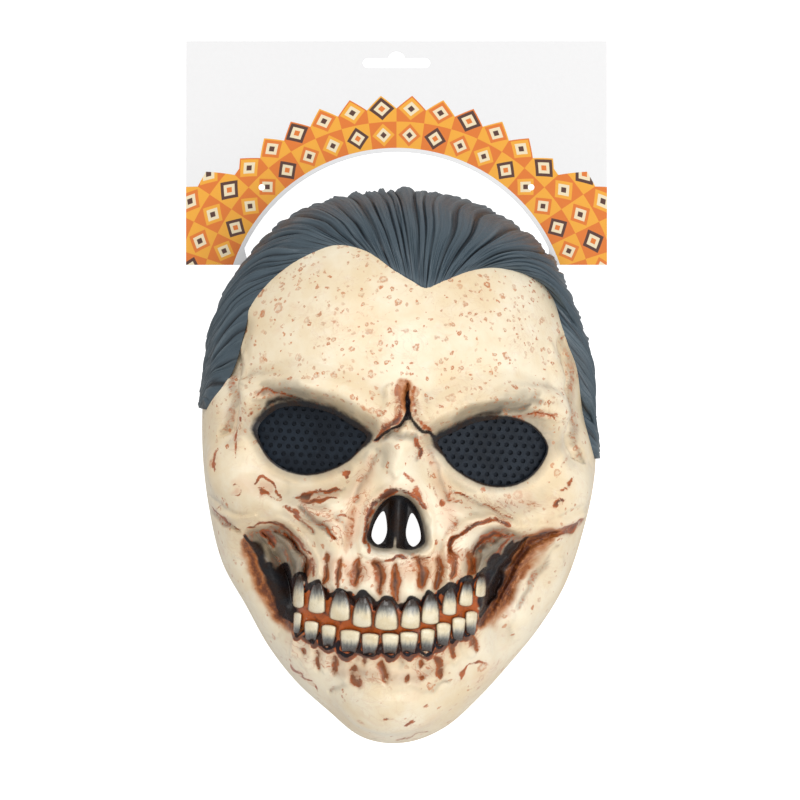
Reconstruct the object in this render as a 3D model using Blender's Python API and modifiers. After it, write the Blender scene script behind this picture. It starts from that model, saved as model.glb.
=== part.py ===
"""Skull mask on its header card, lying face up.

Units are metres. +Z comes out of the face, +Y runs up the card, and +X is the card's right side.
The mask has a frame of its own, centred on its outline, and leans a few degrees against the card.
"""
import math

import bmesh
import bpy
import numpy as np
from mathutils import Vector
from mathutils.bvhtree import BVHTree

# Mask shell
MASK_WIDTH = 0.188
MASK_HEIGHT = 0.264
MASK_DEPTH = 0.090
SHELL_WALL = 0.0025
MASK_LEAN = math.radians(-3.6)
MASK_CENTRE = (0.0019, -0.0347)
RIM_SKIRT = 0.003
DOME_FLATNESS = 2.2
DOME_SHOULDER = 0.40
RING_SPREAD = 0.95
SPOKES = 60
RINGS = 18

# Relief, as rises and depths of their own
SOCKET_DEPTH = 0.012
SOCKET_FALL = 0.015
SOCKET_SLOPE_X = 0.36
SOCKET_SLOPE_Y = 0.04
NOSE_DEPTH = 0.011
NOSE_FALL = 0.0035
SEPTUM_RISE = 0.006
SEPTUM_WIDTH = 0.004

# Hair
HAIR_THICKNESS = 0.0028
LOCK_RISE = 0.0022
LOCK_COUNT = 24
LOCK_SLANT = 1.6
COLUMNS_PER_LOCK = 3
HAIR_ROWS = 8

# Teeth
TOOTH_RISE = 0.0042
GUM_THICKNESS = 0.0012

# Eye meshes
MESH_THICKNESS = 0.0008
MESH_PITCH = 0.0054
MESH_HOLE_RADIUS = 0.0017
MESH_LAP = 0.004
GAUZE_THICKNESS = 0.0005

# Header card
CARD_WIDTH = 0.200
CARD_HEIGHT = 0.1064
CARD_THICKNESS = 0.0006
CARD_FOOT = 0.720
ARCH_RADIUS = 0.080
ARCH_DROP = 0.0264
TIP_REACH = 0.004
TIP_HEIGHT = 0.008
SLOT_WIDTH = 0.032
SLOT_HEIGHT = 0.0045
SLOT_BELOW_TOP = 0.0105
SLOT_BUMP_RADIUS = 0.0042
TIE_HOLE_RADIUS = 0.0015
TIE_HOLE_SPREAD = 0.064
TIE_HOLE_BELOW_TOP = 0.0695

# Fits
PIECE_GAP = 0.0004
HAIR_GAP = 0.0009
TOOTH_GAP = 0.0008
MESH_GAP = 0.0005

HALF_WIDTH = MASK_WIDTH / 2
HALF_HEIGHT = MASK_HEIGHT / 2

# Outline seen from the front: bearing in degrees, reach as a share of the oval through the half sizes
OUTLINE = [
    (0, 0.98), (12, 0.99), (24, 1.03), (36, 1.03), (48, 1.05), (60, 1.03),
    (72, 1.01), (84, 1.00), (96, 1.00), (108, 1.02), (120, 1.06), (132, 1.09),
    (144, 1.11), (156, 1.10), (168, 1.04), (180, 1.00), (192, 0.97), (204, 0.95),
    (216, 0.91), (228, 0.91), (240, 0.92), (252, 0.94), (264, 0.99), (276, 1.00),
    (288, 0.98), (300, 0.94), (312, 0.92), (324, 0.93), (336, 0.95), (348, 0.96),
]

# Hairline: bearing in degrees, share of the way from the middle to the outline
HAIRLINE = [
    (4, 0.985), (10, 0.95), (17, 0.92), (26, 0.91), (34, 0.90), (41, 0.91),
    (47, 0.89), (53, 0.85), (61, 0.80), (68, 0.745), (76, 0.68), (84, 0.635),
    (90, 0.655), (98, 0.695), (108, 0.775), (116, 0.815), (125, 0.83), (133, 0.845),
    (140, 0.855), (146, 0.86), (153, 0.85), (159, 0.86), (165, 0.90), (171, 0.97),
]
HAIR_FADE = 12

# Profile from chin to crown: height share, depth share
PROFILE = [(-1.1, 0.93), (-0.8, 0.97), (-0.4, 1.00), (0.0, 1.00), (0.35, 0.98), (0.7, 0.94), (1.1, 0.90)]

SIDES = {"middle": (1,), "both": (1, -1)}

# Rounded masses: x, y, reach along x, reach along y as shares of the half sizes, turn, rise share, place
MOUNDS = [
    ("forehead", 0.34, 0.50, 0.44, 0.30, 0, 0.022, "both"),
    ("glabella", 0.0, 0.19, 0.17, 0.18, 0, 0.035, "middle"),
    ("nose_bridge", 0.0, -0.02, 0.13, 0.16, 0, 0.040, "middle"),
    ("cheek_hollow", 0.62, -0.36, 0.30, 0.17, -38, -0.155, "both"),
    ("mouth_corner", 0.56, -0.50, 0.15, 0.20, 8, -0.090, "both"),
    ("muzzle", 0.0, -0.50, 0.62, 0.34, 0, 0.080, "middle"),
    ("chin", 0.02, -0.84, 0.36, 0.17, 0, 0.100, "middle"),
    ("jaw", 0.46, -0.74, 0.26, 0.17, 30, 0.030, "both"),
]

# Ridges and grooves: half width share, rise share, place, then the path's points as shares
RIDGES = [
    ("brow", 0.13, 0.055, "both", [(0.13, 0.17), (0.30, 0.245), (0.52, 0.275), (0.76, 0.22)]),
    ("cheekbone", 0.15, 0.060, "both", [(0.95, -0.04), (0.76, -0.14), (0.54, -0.17), (0.38, -0.13)]),
    ("jaw_rib", 0.08, 0.045, "both", [(0.50, -0.16), (0.36, -0.20), (0.29, -0.30), (0.28, -0.42)]),
    ("temple", 0.09, -0.030, "both", [(0.84, 0.46), (0.87, 0.26), (0.84, 0.07)]),
]

# Openings seen from the front, on the right side: x, y as shares of the half sizes
EYE_OUTLINE = [
    (0.177, 0.100), (0.260, 0.136), (0.353, 0.170), (0.467, 0.187), (0.570, 0.186), (0.653, 0.161),
    (0.716, 0.102), (0.689, 0.039), (0.633, -0.009), (0.550, -0.039), (0.446, -0.045), (0.343, -0.022),
    (0.260, 0.014), (0.207, 0.058),
]
NOSE_OUTLINE = [
    (0.0, -0.085), (0.057, -0.098), (0.102, -0.130), (0.133, -0.171), (0.155, -0.227), (0.157, -0.267),
    (0.109, -0.294), (0.052, -0.300), (0.0, -0.296), (-0.052, -0.300), (-0.109, -0.294), (-0.157, -0.267),
    (-0.155, -0.227), (-0.133, -0.171), (-0.102, -0.130), (-0.057, -0.098),
]
NOSTRIL_OUTLINE = [
    (0.068, -0.160), (0.047, -0.220), (0.060, -0.262), (0.091, -0.276), (0.121, -0.248), (0.105, -0.195),
]

# Teeth from left to right: x, y of the middle, width share of the half width, height share of the half height
UPPER_TEETH = [
    (-0.462, -0.461, 0.055, 0.123), (-0.369, -0.479, 0.079, 0.112), (-0.253, -0.499, 0.094, 0.112),
    (-0.140, -0.516, 0.090, 0.112), (-0.021, -0.520, 0.107, 0.112), (0.096, -0.512, 0.090, 0.108),
    (0.193, -0.490, 0.082, 0.112), (0.284, -0.459, 0.066, 0.103), (0.362, -0.428, 0.063, 0.096),
    (0.433, -0.397, 0.051, 0.090),
]
LOWER_TEETH = [
    (-0.462, -0.577, 0.035, 0.076), (-0.390, -0.598, 0.062, 0.072), (-0.303, -0.608, 0.063, 0.078),
    (-0.195, -0.621, 0.086, 0.081), (-0.094, -0.625, 0.075, 0.075), (0.003, -0.619, 0.075, 0.073),
    (0.094, -0.610, 0.079, 0.072), (0.185, -0.599, 0.062, 0.081), (0.261, -0.575, 0.063, 0.081),
    (0.335, -0.554, 0.059, 0.078), (0.395, -0.532, 0.052, 0.076),
]

# Colours: red, green, blue, then roughness
FINISHES = {
    "bone": (0.86, 0.76, 0.60, 0.45),
    "hair": (0.055, 0.068, 0.080, 0.40),
    "tooth": (0.84, 0.76, 0.60, 0.35),
    "eye_mesh": (0.030, 0.040, 0.052, 0.60),
    "gauze": (0.010, 0.012, 0.016, 0.90),
    "card": (0.90, 0.90, 0.90, 0.55),
}


def smooth_step(value):
    """Ease from 0 to 1."""
    value = np.clip(value, 0.0, 1.0)
    return value * value * (3 - 2 * value)


def smooth_table(rows, at, period=None):
    """Read a smooth curve through a table's rows, which may wrap round."""
    keys = np.array([row[0] for row in rows], float)
    values = np.array([row[1] for row in rows], float)
    if period:
        keys = np.concatenate([keys[-2:] - period, keys, keys[:2] + period])
        values = np.concatenate([values[-2:], values, values[:2]])
        at = np.mod(np.asarray(at, float) - keys[1], period) + keys[1]
    at = np.clip(np.asarray(at, float), keys[0], keys[-1])
    slopes = np.gradient(values, keys)
    index = np.clip(np.searchsorted(keys, at, side="right") - 1, 0, len(keys) - 2)
    span = keys[index + 1] - keys[index]
    t = (at - keys[index]) / span
    start = (2 * t**3 - 3 * t**2 + 1) * values[index] + (t**3 - 2 * t**2 + t) * span * slopes[index]
    end = (3 * t**2 - 2 * t**3) * values[index + 1] + (t**3 - t**2) * span * slopes[index + 1]
    return start + end


def closed_curve(shares, steps=3, side=1):
    """Smooth closed outline through points given as shares, in metres."""
    points = np.array([(side * x * HALF_WIDTH, y * HALF_HEIGHT) for x, y in shares])
    if side < 0:
        points = points[::-1]
    before, after, beyond = np.roll(points, 1, 0), np.roll(points, -1, 0), np.roll(points, -2, 0)
    curve = []
    for start, end, back, ahead in zip(points, after, before, beyond):
        for step in range(steps):
            t = step / steps
            curve.append(0.5 * (
                2 * start + (end - back) * t
                + (2 * back - 5 * start + 4 * end - ahead) * t**2
                + (3 * start - back - 3 * end + ahead) * t**3
            ))
    return np.array(curve)


def path_distance(x, y, path, closed=False):
    """Distance from each point to a path through the given points."""
    path = np.asarray(path)
    ends = np.roll(path, -1, 0) if closed else path[1:]
    nearest = np.full(np.shape(x), np.inf)
    for (ax, ay), (bx, by) in zip(path, ends):
        along_x, along_y = bx - ax, by - ay
        length = along_x**2 + along_y**2
        t = np.clip(((x - ax) * along_x + (y - ay) * along_y) / length, 0, 1)
        nearest = np.minimum(nearest, np.hypot(x - ax - t * along_x, y - ay - t * along_y))
    return nearest


def outside_distance(x, y, outline):
    """Distance to a closed outline, negative inside it."""
    inside = np.zeros(np.shape(x), bool)
    for (ax, ay), (bx, by) in zip(outline, np.roll(outline, -1, 0)):
        if ay == by:
            continue
        crosses = (ay > y) != (by > y)
        inside ^= crosses & (x < (bx - ax) * (y - ay) / (by - ay) + ax)
    return np.where(inside, -1, 1) * path_distance(x, y, outline, closed=True)


def hair_cover(bearing):
    """How fully the hair covers the rim at a bearing, from 0 to 1."""
    rising = smooth_step((bearing - HAIRLINE[0][0]) / HAIR_FADE)
    falling = smooth_step((HAIRLINE[-1][0] - bearing) / HAIR_FADE)
    return rising * falling


def skull_reach(bearing):
    """Reach of the skull's own outline: the mask's outline less the hair that lies on it."""
    radius = np.hypot(HALF_WIDTH * np.cos(np.radians(bearing)), HALF_HEIGHT * np.sin(np.radians(bearing)))
    hair = (HAIR_THICKNESS + LOCK_RISE + HAIR_GAP) * hair_cover(np.mod(bearing, 360))
    return smooth_table(OUTLINE, bearing, period=360) - hair / radius


def dome_point(bearing, share):
    """Plain dome of the head, without relief; share is the way from the middle to the rim."""
    reach = skull_reach(bearing) * share
    x = HALF_WIDTH * np.cos(np.radians(bearing)) * reach
    y = HALF_HEIGHT * np.sin(np.radians(bearing)) * reach
    fullness = (1 - np.clip(share, 0, 1) ** DOME_FLATNESS) ** DOME_SHOULDER
    z = MASK_DEPTH * smooth_table(PROFILE, y / HALF_HEIGHT) * fullness
    return np.stack([x, y, z], axis=-1)


def dome_height(x, y):
    """Height of the plain dome over a point of the plan."""
    bearing = np.degrees(np.arctan2(y / HALF_HEIGHT, x / HALF_WIDTH))
    share = np.hypot(x / HALF_WIDTH, y / HALF_HEIGHT) / skull_reach(bearing)
    return dome_point(bearing, share)[..., 2]


def dome_normal(bearing, share):
    """Outward direction of the plain dome."""
    turn, step = 0.5, 0.004
    low, high = np.clip(share - step, 0.001, 0.999), np.clip(share + step, 0.002, 0.9995)
    across = dome_point(bearing + turn, share) - dome_point(bearing - turn, share)
    down = dome_point(bearing, high) - dome_point(bearing, low)
    normal = np.cross(down, across)
    return normal / np.linalg.norm(normal, axis=-1, keepdims=True)


def relief(x, y):
    """Rise of the bone's masses, ridges and grooves over the dome."""
    rise = np.zeros(np.shape(x))
    for name, mx, my, reach_x, reach_y, turn, share, place in MOUNDS:
        for side in SIDES[place]:
            dx, dy = x / HALF_WIDTH - side * mx, (y / HALF_HEIGHT - my) * HALF_HEIGHT / HALF_WIDTH
            c, s = math.cos(math.radians(side * turn)), math.sin(math.radians(side * turn))
            u = (c * dx + s * dy) / reach_x
            v = (c * dy - s * dx) / (reach_y * HALF_HEIGHT / HALF_WIDTH)
            rise = rise + MASK_DEPTH * share * np.clip(1 - u * u - v * v, 0, 1) ** 2
    for name, half_width, share, place, path in RIDGES:
        for side in SIDES[place]:
            points = [(side * px * HALF_WIDTH, py * HALF_HEIGHT) for px, py in path]
            away = path_distance(x, y, points) / (half_width * HALF_WIDTH)
            rise = rise + MASK_DEPTH * share * np.clip(1 - away * away, 0, 1) ** 2
    return rise


def socket_floor(x, y, side):
    """Tilted plane that an eye's opening and mesh lie in."""
    middle_x, middle_y = side * 0.46 * HALF_WIDTH, 0.07 * HALF_HEIGHT
    level = dome_height(np.array(middle_x), np.array(middle_y)) - SOCKET_DEPTH
    return level - SOCKET_SLOPE_X * (side * x - abs(middle_x)) + SOCKET_SLOPE_Y * (y - middle_y)


def sink_features(x, y, z):
    """Sink the eye sockets and the nose cavity into a height."""
    for side in (1, -1):
        away = outside_distance(x, y, closed_curve(EYE_OUTLINE, side=side)) - MESH_LAP
        weight = smooth_step(1 - away / SOCKET_FALL)
        z = z + (socket_floor(x, y, side) - z) * weight
    away = outside_distance(x, y, closed_curve(NOSE_OUTLINE))
    weight = smooth_step(-away / NOSE_FALL)
    septum = SEPTUM_RISE * np.clip(1 - (x / SEPTUM_WIDTH) ** 2, 0, 1)
    return z + (septum - NOSE_DEPTH) * weight


def face_point(bearing, share):
    """Point of the mask's outer skin."""
    point = dome_point(bearing, share)
    normal = dome_normal(bearing, share)
    sideways = smooth_step((share - 0.70) / 0.25)[..., None]
    direction = np.array([0.0, 0.0, 1.0]) * (1 - sideways) + normal * sideways
    direction = direction / np.linalg.norm(direction, axis=-1, keepdims=True)
    settle = smooth_step((1 - share) / 0.10)[..., None]
    point = point + direction * relief(point[..., 0], point[..., 1])[..., None] * settle
    point[..., 2] = sink_features(point[..., 0], point[..., 1], point[..., 2])
    return point


def ring_share(step):
    """Spread the rings evenly over the front and closely down the steep sides."""
    return np.sin(0.5 * math.pi * step) ** RING_SPREAD


def ring_step(share):
    """Step whose ring lies at a share of the way to the rim."""
    return np.arcsin(share ** (1 / RING_SPREAD)) / (0.5 * math.pi)


def material(name):
    """Principled material of one finish."""
    red, green, blue, roughness = FINISHES[name]
    made = bpy.data.materials.new(name)
    made.use_nodes = True
    shader = made.node_tree.nodes["Principled BSDF"]
    shader.inputs["Base Color"].default_value = (red, green, blue, 1)
    shader.inputs["Roughness"].default_value = roughness
    made.diffuse_color = (red, green, blue, 1)
    return made


def add_object(name, mesh, finish, collection, parent=None):
    """Put a mesh in the scene as one named piece."""
    piece = bpy.data.objects.new(name, mesh)
    if finish:
        mesh.materials.append(finish)
        mesh.shade_smooth()
        mesh.set_sharp_from_angle(angle=math.radians(40))
    collection.objects.link(piece)
    piece.parent = parent
    return piece


def mesh_from(name, build):
    """Fill a new mesh by a function that works on a bmesh."""
    mesh = bpy.data.meshes.new(name)
    work = bmesh.new()
    build(work)
    bmesh.ops.recalc_face_normals(work, faces=work.faces)
    work.to_mesh(mesh)
    work.free()
    return mesh


def add_cutter(name, mesh, collection, parent=None):
    """Add a hidden cutting body."""
    cutter = add_object(name, mesh, None, collection, parent)
    cutter.hide_render = True
    cutter.display_type = "WIRE"
    return cutter


def cut(piece, cutter):
    """Take one cutter's volume out of a piece."""
    modifier = piece.modifiers.new("Cut " + cutter.name, "BOOLEAN")
    modifier.operation = "DIFFERENCE"
    modifier.solver = "EXACT"
    modifier.object = cutter


def prism(outline, low, high):
    """Upright body over a closed outline."""
    def build(work):
        base = work.faces.new([work.verts.new((px, py, low)) for px, py in outline])
        raised = bmesh.ops.extrude_face_region(work, geom=[base])["geom"]
        lift = [item for item in raised if isinstance(item, bmesh.types.BMVert)]
        bmesh.ops.translate(work, verts=lift, vec=(0, 0, high - low))
    return build


def shell_between(outer, inner):
    """Closed body between two like grids of points, rows by columns."""
    rows, columns = outer.shape[:2]

    def build(work):
        top = [[work.verts.new(outer[r, c]) for c in range(columns)] for r in range(rows)]
        under = [[work.verts.new(inner[r, c]) for c in range(columns)] for r in range(rows)]
        for r in range(rows - 1):
            for c in range(columns - 1):
                work.faces.new((top[r][c], top[r][c + 1], top[r + 1][c + 1], top[r + 1][c]))
                work.faces.new((under[r][c], under[r + 1][c], under[r + 1][c + 1], under[r][c + 1]))
        border = [(0, c) for c in range(columns)] + [(r, columns - 1) for r in range(1, rows)]
        border += [(rows - 1, c) for c in range(columns - 2, -1, -1)] + [(r, 0) for r in range(rows - 2, 0, -1)]
        for (ar, ac), (br, bc) in zip(border, border[1:] + border[:1]):
            work.faces.new((top[ar][ac], under[ar][ac], under[br][bc], top[br][bc]))
    return build


def face_skin():
    """Outer skin of the mask as rings round the middle of the face, with a skirt to trim."""
    bearings = np.arange(SPOKES) * 360.0 / SPOKES
    shares = ring_share(np.arange(1, RINGS + 1) / RINGS)
    rings = [face_point(bearings, np.full(SPOKES, share)) for share in shares]
    skirt = rings[-1] - np.array([0, 0, RIM_SKIRT])
    middle = face_point(np.array([0.0]), np.array([0.0001]))[0]

    def build(work):
        centre = work.verts.new(middle)
        loops = [[work.verts.new(point) for point in ring] for ring in rings + [skirt]]
        for spoke in range(SPOKES):
            after = (spoke + 1) % SPOKES
            work.faces.new((centre, loops[0][spoke], loops[0][after]))
            for inner, outer in zip(loops, loops[1:]):
                work.faces.new((inner[spoke], outer[spoke], outer[after], inner[after]))
        bmesh.ops.triangulate(work, faces=work.faces, quad_method="SHORT_EDGE")
    return mesh_from("face_shell", build)


def make_face(parts, cutters, stance, finish):
    """Bone face: one hollow shell with open eyes and nostrils."""
    face = add_object("face_shell", face_skin(), finish, parts, stance)
    wall = face.modifiers.new("Wall", "SOLIDIFY")
    wall.thickness = SHELL_WALL
    wall.offset = -1
    for side, label in ((1, "right"), (-1, "left")):
        for kind, shares in (("eye", EYE_OUTLINE), ("nostril", NOSTRIL_OUTLINE)):
            body = mesh_from(kind, prism(closed_curve(shares, side=side), MASK_DEPTH * 0.3, MASK_DEPTH * 1.3))
            cut(face, add_cutter(kind + "_opening_" + label, body, cutters, stance))
    return face


def make_hair(parts, stance, finish):
    """Hair swept back from the hairline, as a layer of locks on the shell."""
    first, last = HAIRLINE[0][0], HAIRLINE[-1][0]
    steps = LOCK_COUNT * COLUMNS_PER_LOCK
    bearings = np.linspace(first, last, steps + 1)
    start = ring_step(smooth_table(HAIRLINE, bearings))
    inner, outer = [], []
    for row in range(HAIR_ROWS + 1):
        down = row / HAIR_ROWS
        shares = ring_share(start + (1 - start) * down)
        skin = face_point(bearings, shares)
        normal = dome_normal(bearings, np.minimum(shares, 0.995))
        phase = (bearings - first) / (last - first) * LOCK_COUNT + LOCK_SLANT * down
        lock = LOCK_RISE * np.abs(np.sin(math.pi * phase)) ** 0.8
        cover = 0.25 + 0.75 * hair_cover(bearings)
        thickness = (HAIR_THICKNESS + lock) * cover * (0.35 + 0.65 * smooth_step(down * 1.6))
        inner.append(skin + normal * HAIR_GAP)
        outer.append(skin + normal * (HAIR_GAP + thickness)[:, None])
    for grid in (inner, outer):
        grid.append(grid[-1] - np.array([0, 0, RIM_SKIRT]))
    mesh = mesh_from("hair", shell_between(np.array(outer), np.array(inner)))
    return add_object("hair", mesh, finish, parts, stance)


def seat_heights(tree, x, y):
    """Height of the shell's outer skin under each point of the plan."""
    heights = []
    for px, py in zip(x, y):
        hit = tree.ray_cast(Vector((px, py, MASK_DEPTH * 2)), Vector((0, 0, -1)))[0]
        heights.append(hit.z)
    return np.array(heights)


def make_teeth(name, rows, tree, parts, stance, finish):
    """One row of teeth standing on a thin gum that follows the jaw."""
    across, middle, half, fullness = [], [], [], []
    for index, (x, y, width, height) in enumerate(rows):
        for quarter, full in ((-0.5, 0.0), (-0.25, 0.85), (0.0, 1.0), (0.25, 0.85)):
            before = rows[max(index - 1, 0)] if quarter < 0 else rows[index]
            blend = 0.5 if quarter == -0.5 else 0.0
            across.append((x + quarter * width) * (1 - blend) + (before[0] + 0.5 * before[2]) * blend)
            middle.append(y * (1 - blend) + before[1] * blend)
            half.append(0.5 * (height * (1 - blend) + before[3] * blend))
            fullness.append(full)
    across[0] = rows[0][0] - 0.5 * rows[0][2]
    last = rows[-1]
    across.append(last[0] + 0.5 * last[2])
    middle.append(last[1])
    half.append(0.5 * last[3])
    fullness.append(0.0)
    x = np.array(across) * HALF_WIDTH
    fullness = np.array(fullness)
    inner, outer = [], []
    for level, roll in ((-1.0, 0.35), (-0.55, 1.0), (0.55, 1.0), (1.0, 0.35)):
        y = (np.array(middle) + level * np.array(half)) * HALF_HEIGHT
        seat = seat_heights(tree, x, y) + TOOTH_GAP
        rise = GUM_THICKNESS + TOOTH_RISE * fullness * roll
        inner.append(np.stack([x, y, seat], -1))
        outer.append(np.stack([x, y, seat + rise], -1))
    mesh = mesh_from(name, shell_between(np.array(outer), np.array(inner)))
    return add_object(name, mesh, finish, parts, stance)


def grown(outline, distance):
    """Closed outline moved outwards by a distance."""
    tangent = np.roll(outline, -1, 0) - np.roll(outline, 1, 0)
    tangent /= np.linalg.norm(tangent, axis=1, keepdims=True)
    area = np.sum(outline[:, 0] * np.roll(outline[:, 1], -1) - np.roll(outline[:, 0], -1) * outline[:, 1])
    outwards = np.stack([tangent[:, 1], -tangent[:, 0]], -1) * math.copysign(1, area)
    return outline + outwards * distance


def add_spline(curve, points):
    """Closed straight-sided spline of a flat curve."""
    spline = curve.splines.new("POLY")
    spline.points.add(len(points) - 1)
    for point, (px, py) in zip(spline.points, points):
        point.co = (px, py, 0, 1)
    spline.use_cyclic_u = True


def flat_plate(name, outlines, thickness):
    """Flat plate with holes: the first outline is its edge, the others are cut through."""
    curve = bpy.data.curves.new(name, "CURVE")
    curve.dimensions = "2D"
    curve.fill_mode = "BOTH"
    curve.extrude = thickness / 2
    for outline in outlines:
        add_spline(curve, outline)
    carrier = bpy.data.objects.new(name, curve)
    bpy.context.scene.collection.objects.link(carrier)
    evaluated = carrier.evaluated_get(bpy.context.evaluated_depsgraph_get())
    mesh = bpy.data.meshes.new_from_object(evaluated)
    bpy.data.objects.remove(carrier)
    bpy.data.curves.remove(curve)
    work = bmesh.new()
    work.from_mesh(mesh)
    bmesh.ops.remove_doubles(work, verts=work.verts, dist=0.00001)
    bmesh.ops.translate(work, verts=work.verts, vec=(0, 0, thickness / 2))
    bmesh.ops.recalc_face_normals(work, faces=work.faces)
    work.to_mesh(mesh)
    work.free()
    return mesh


def circle(x, y, radius, sides):
    """Points round a circle."""
    turns = [math.tau * (step + 0.5) / sides for step in range(sides)]
    return [(x + radius * math.cos(turn), y + radius * math.sin(turn)) for turn in turns]


def mesh_holes(side):
    """Staggered holes that lie whole inside an eye's opening."""
    opening = closed_curve(EYE_OUTLINE, side=side)
    middle = opening.mean(axis=0)
    row_step = MESH_PITCH * math.sqrt(3) / 2
    reach = int(HALF_WIDTH / MESH_PITCH)
    holes = []
    for row in range(-reach, reach + 1):
        for place in range(-reach, reach + 1):
            x = middle[0] + (place + 0.5 * (row % 2)) * MESH_PITCH
            y = middle[1] + row * row_step
            if outside_distance(np.array(x), np.array(y), opening) < -MESH_HOLE_RADIUS:
                holes.append(circle(x, y, MESH_HOLE_RADIUS, 6))
    return holes


def make_eye(side, label, parts, stance, mesh_finish, gauze_finish):
    """Pierced mesh behind an eye's opening, and the fine gauze behind it."""
    edge = grown(closed_curve(EYE_OUTLINE, steps=2, side=side), MESH_LAP)
    slant = math.hypot(1, math.hypot(SOCKET_SLOPE_X, SOCKET_SLOPE_Y))
    mesh_drop = (SHELL_WALL + MESH_GAP + MESH_THICKNESS) * slant
    gauze_drop = mesh_drop + (PIECE_GAP + GAUZE_THICKNESS) * slant
    for kind, holes, thickness, drop, finish in (
        ("eye_mesh_", mesh_holes(side), MESH_THICKNESS, mesh_drop, mesh_finish),
        ("eye_gauze_", [], GAUZE_THICKNESS, gauze_drop, gauze_finish),
    ):
        mesh = flat_plate(kind + label, [edge] + holes, thickness * slant)
        for vertex in mesh.vertices:
            floor = socket_floor(np.array(vertex.co.x), np.array(vertex.co.y), side)
            vertex.co.z += float(floor) - drop
        add_object(kind + label, mesh, finish, parts, stance)


def card_foot():
    """Height of the card's lower edge up the sheet, tied to the mask's place."""
    return MASK_CENTRE[1] + CARD_FOOT * HALF_HEIGHT


def rim_side(side, height):
    """Distance from the card's middle line to the mask's rim on one side, at a height up the sheet."""
    bearings = np.arange(0, 360, 1.0)
    reach = smooth_table(OUTLINE, bearings, period=360)
    x = HALF_WIDTH * np.cos(np.radians(bearings)) * reach
    y = HALF_HEIGHT * np.sin(np.radians(bearings)) * reach
    sheet_x = MASK_CENTRE[0] + x * math.cos(MASK_LEAN) - y * math.sin(MASK_LEAN)
    sheet_y = MASK_CENTRE[1] + x * math.sin(MASK_LEAN) + y * math.cos(MASK_LEAN)
    on_side = (side * sheet_x > 0) & (sheet_y > MASK_CENTRE[1])
    nearest = np.argmin(np.where(on_side, np.abs(sheet_y - height), np.inf))
    return abs(sheet_x[nearest])


def card_outline():
    """Card with an arch for the crown, whose tips reach under the mask's rim."""
    foot = card_foot()
    top, half = foot + CARD_HEIGHT, CARD_WIDTH / 2
    centre_y = foot - ARCH_DROP
    start = math.asin((ARCH_DROP + TIP_HEIGHT) / ARCH_RADIUS)
    turns = [start + (math.pi - 2 * start) * step / 32 for step in range(33)]
    arch = [(ARCH_RADIUS * math.cos(turn), centre_y + ARCH_RADIUS * math.sin(turn)) for turn in turns]
    right = rim_side(1, foot) - TIP_REACH
    left = TIP_REACH - rim_side(-1, foot)
    return [(half, foot), (half, top), (-half, top), (-half, foot), (left, foot)] + arch[::-1] + [(right, foot)]


def slot_outline():
    """Hanging slot: a flat slot with round ends and a round bump over its middle."""
    y = card_foot() + CARD_HEIGHT - SLOT_BELOW_TOP
    half, round_end = SLOT_WIDTH / 2, SLOT_HEIGHT / 2
    points = []
    for centre, start in ((half - round_end, -90), (-half + round_end, 90)):
        for step in range(7):
            turn = math.radians(start + 30 * step)
            points.append((centre + round_end * math.cos(turn), y + round_end * math.sin(turn)))
        if start == -90:
            for step in range(9):
                turn = math.radians(15 + 150 * step / 8)
                rise = y + round_end - SLOT_BUMP_RADIUS * math.sin(math.radians(15))
                points.append((SLOT_BUMP_RADIUS * math.cos(turn), rise + SLOT_BUMP_RADIUS * math.sin(turn)))
    return points


def make_card(parts, finish):
    """Header card with its hanging slot, arch and two tie holes."""
    tie_y = card_foot() + CARD_HEIGHT - TIE_HOLE_BELOW_TOP
    holes = [slot_outline()]
    for side in (-1, 1):
        holes.append(circle(side * TIE_HOLE_SPREAD, tie_y, TIE_HOLE_RADIUS, 12))
    mesh = flat_plate("header_card", [card_outline()] + holes, CARD_THICKNESS)
    return add_object("header_card", mesh, finish, parts)


def make_trims(cutters):
    """Slabs that trim the rim: to the floor, and over the card to its thickness and a gap."""
    reach = 2 * (MASK_WIDTH + MASK_HEIGHT)
    floor_sheet = [(-reach, -reach), (reach, -reach), (reach, reach), (-reach, reach)]
    over = card_foot() - TIP_REACH
    card_sheet = [(-reach, over), (reach, over), (reach, reach), (-reach, reach)]
    floor = add_cutter("floor_trim", mesh_from("floor_trim", prism(floor_sheet, -MASK_DEPTH, 0)), cutters)
    top = CARD_THICKNESS + PIECE_GAP
    card = add_cutter("card_trim", mesh_from("card_trim", prism(card_sheet, -MASK_DEPTH / 2, top)), cutters)
    return floor, card


def main():
    """Build the whole mask and its card."""
    for item in list(bpy.data.objects):
        bpy.data.objects.remove(item)
    parts = bpy.data.collections.new("skull_mask")
    cutters = bpy.data.collections.new("cutters")
    for collection in (parts, cutters):
        bpy.context.scene.collection.children.link(collection)
    finish = {name: material(name) for name in FINISHES}

    stance = bpy.data.objects.new("mask_stance", None)
    stance.location = (MASK_CENTRE[0], MASK_CENTRE[1], 0)
    stance.rotation_euler = (0, 0, MASK_LEAN)
    parts.objects.link(stance)

    make_card(parts, finish["card"])
    face = make_face(parts, cutters, stance, finish["bone"])
    hair = make_hair(parts, stance, finish["hair"])
    for trim in make_trims(cutters):
        cut(face, trim)
        cut(hair, trim)

    skin = bmesh.new()
    skin.from_mesh(face.data)
    tree = BVHTree.FromBMesh(skin)
    skin.free()
    make_teeth("upper_teeth", UPPER_TEETH, tree, parts, stance, finish["tooth"])
    make_teeth("lower_teeth", LOWER_TEETH, tree, parts, stance, finish["tooth"])
    for side, label in ((1, "right"), (-1, "left")):
        make_eye(side, label, parts, stance, finish["eye_mesh"], finish["gauze"])


main()
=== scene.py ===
"""Skull mask on its header card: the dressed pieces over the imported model.

Everything is in metres. The mask's pieces are worked out in the mask's own frame, centred on its
outline, and are then turned and moved to their place on the card.
"""

import math

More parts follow.
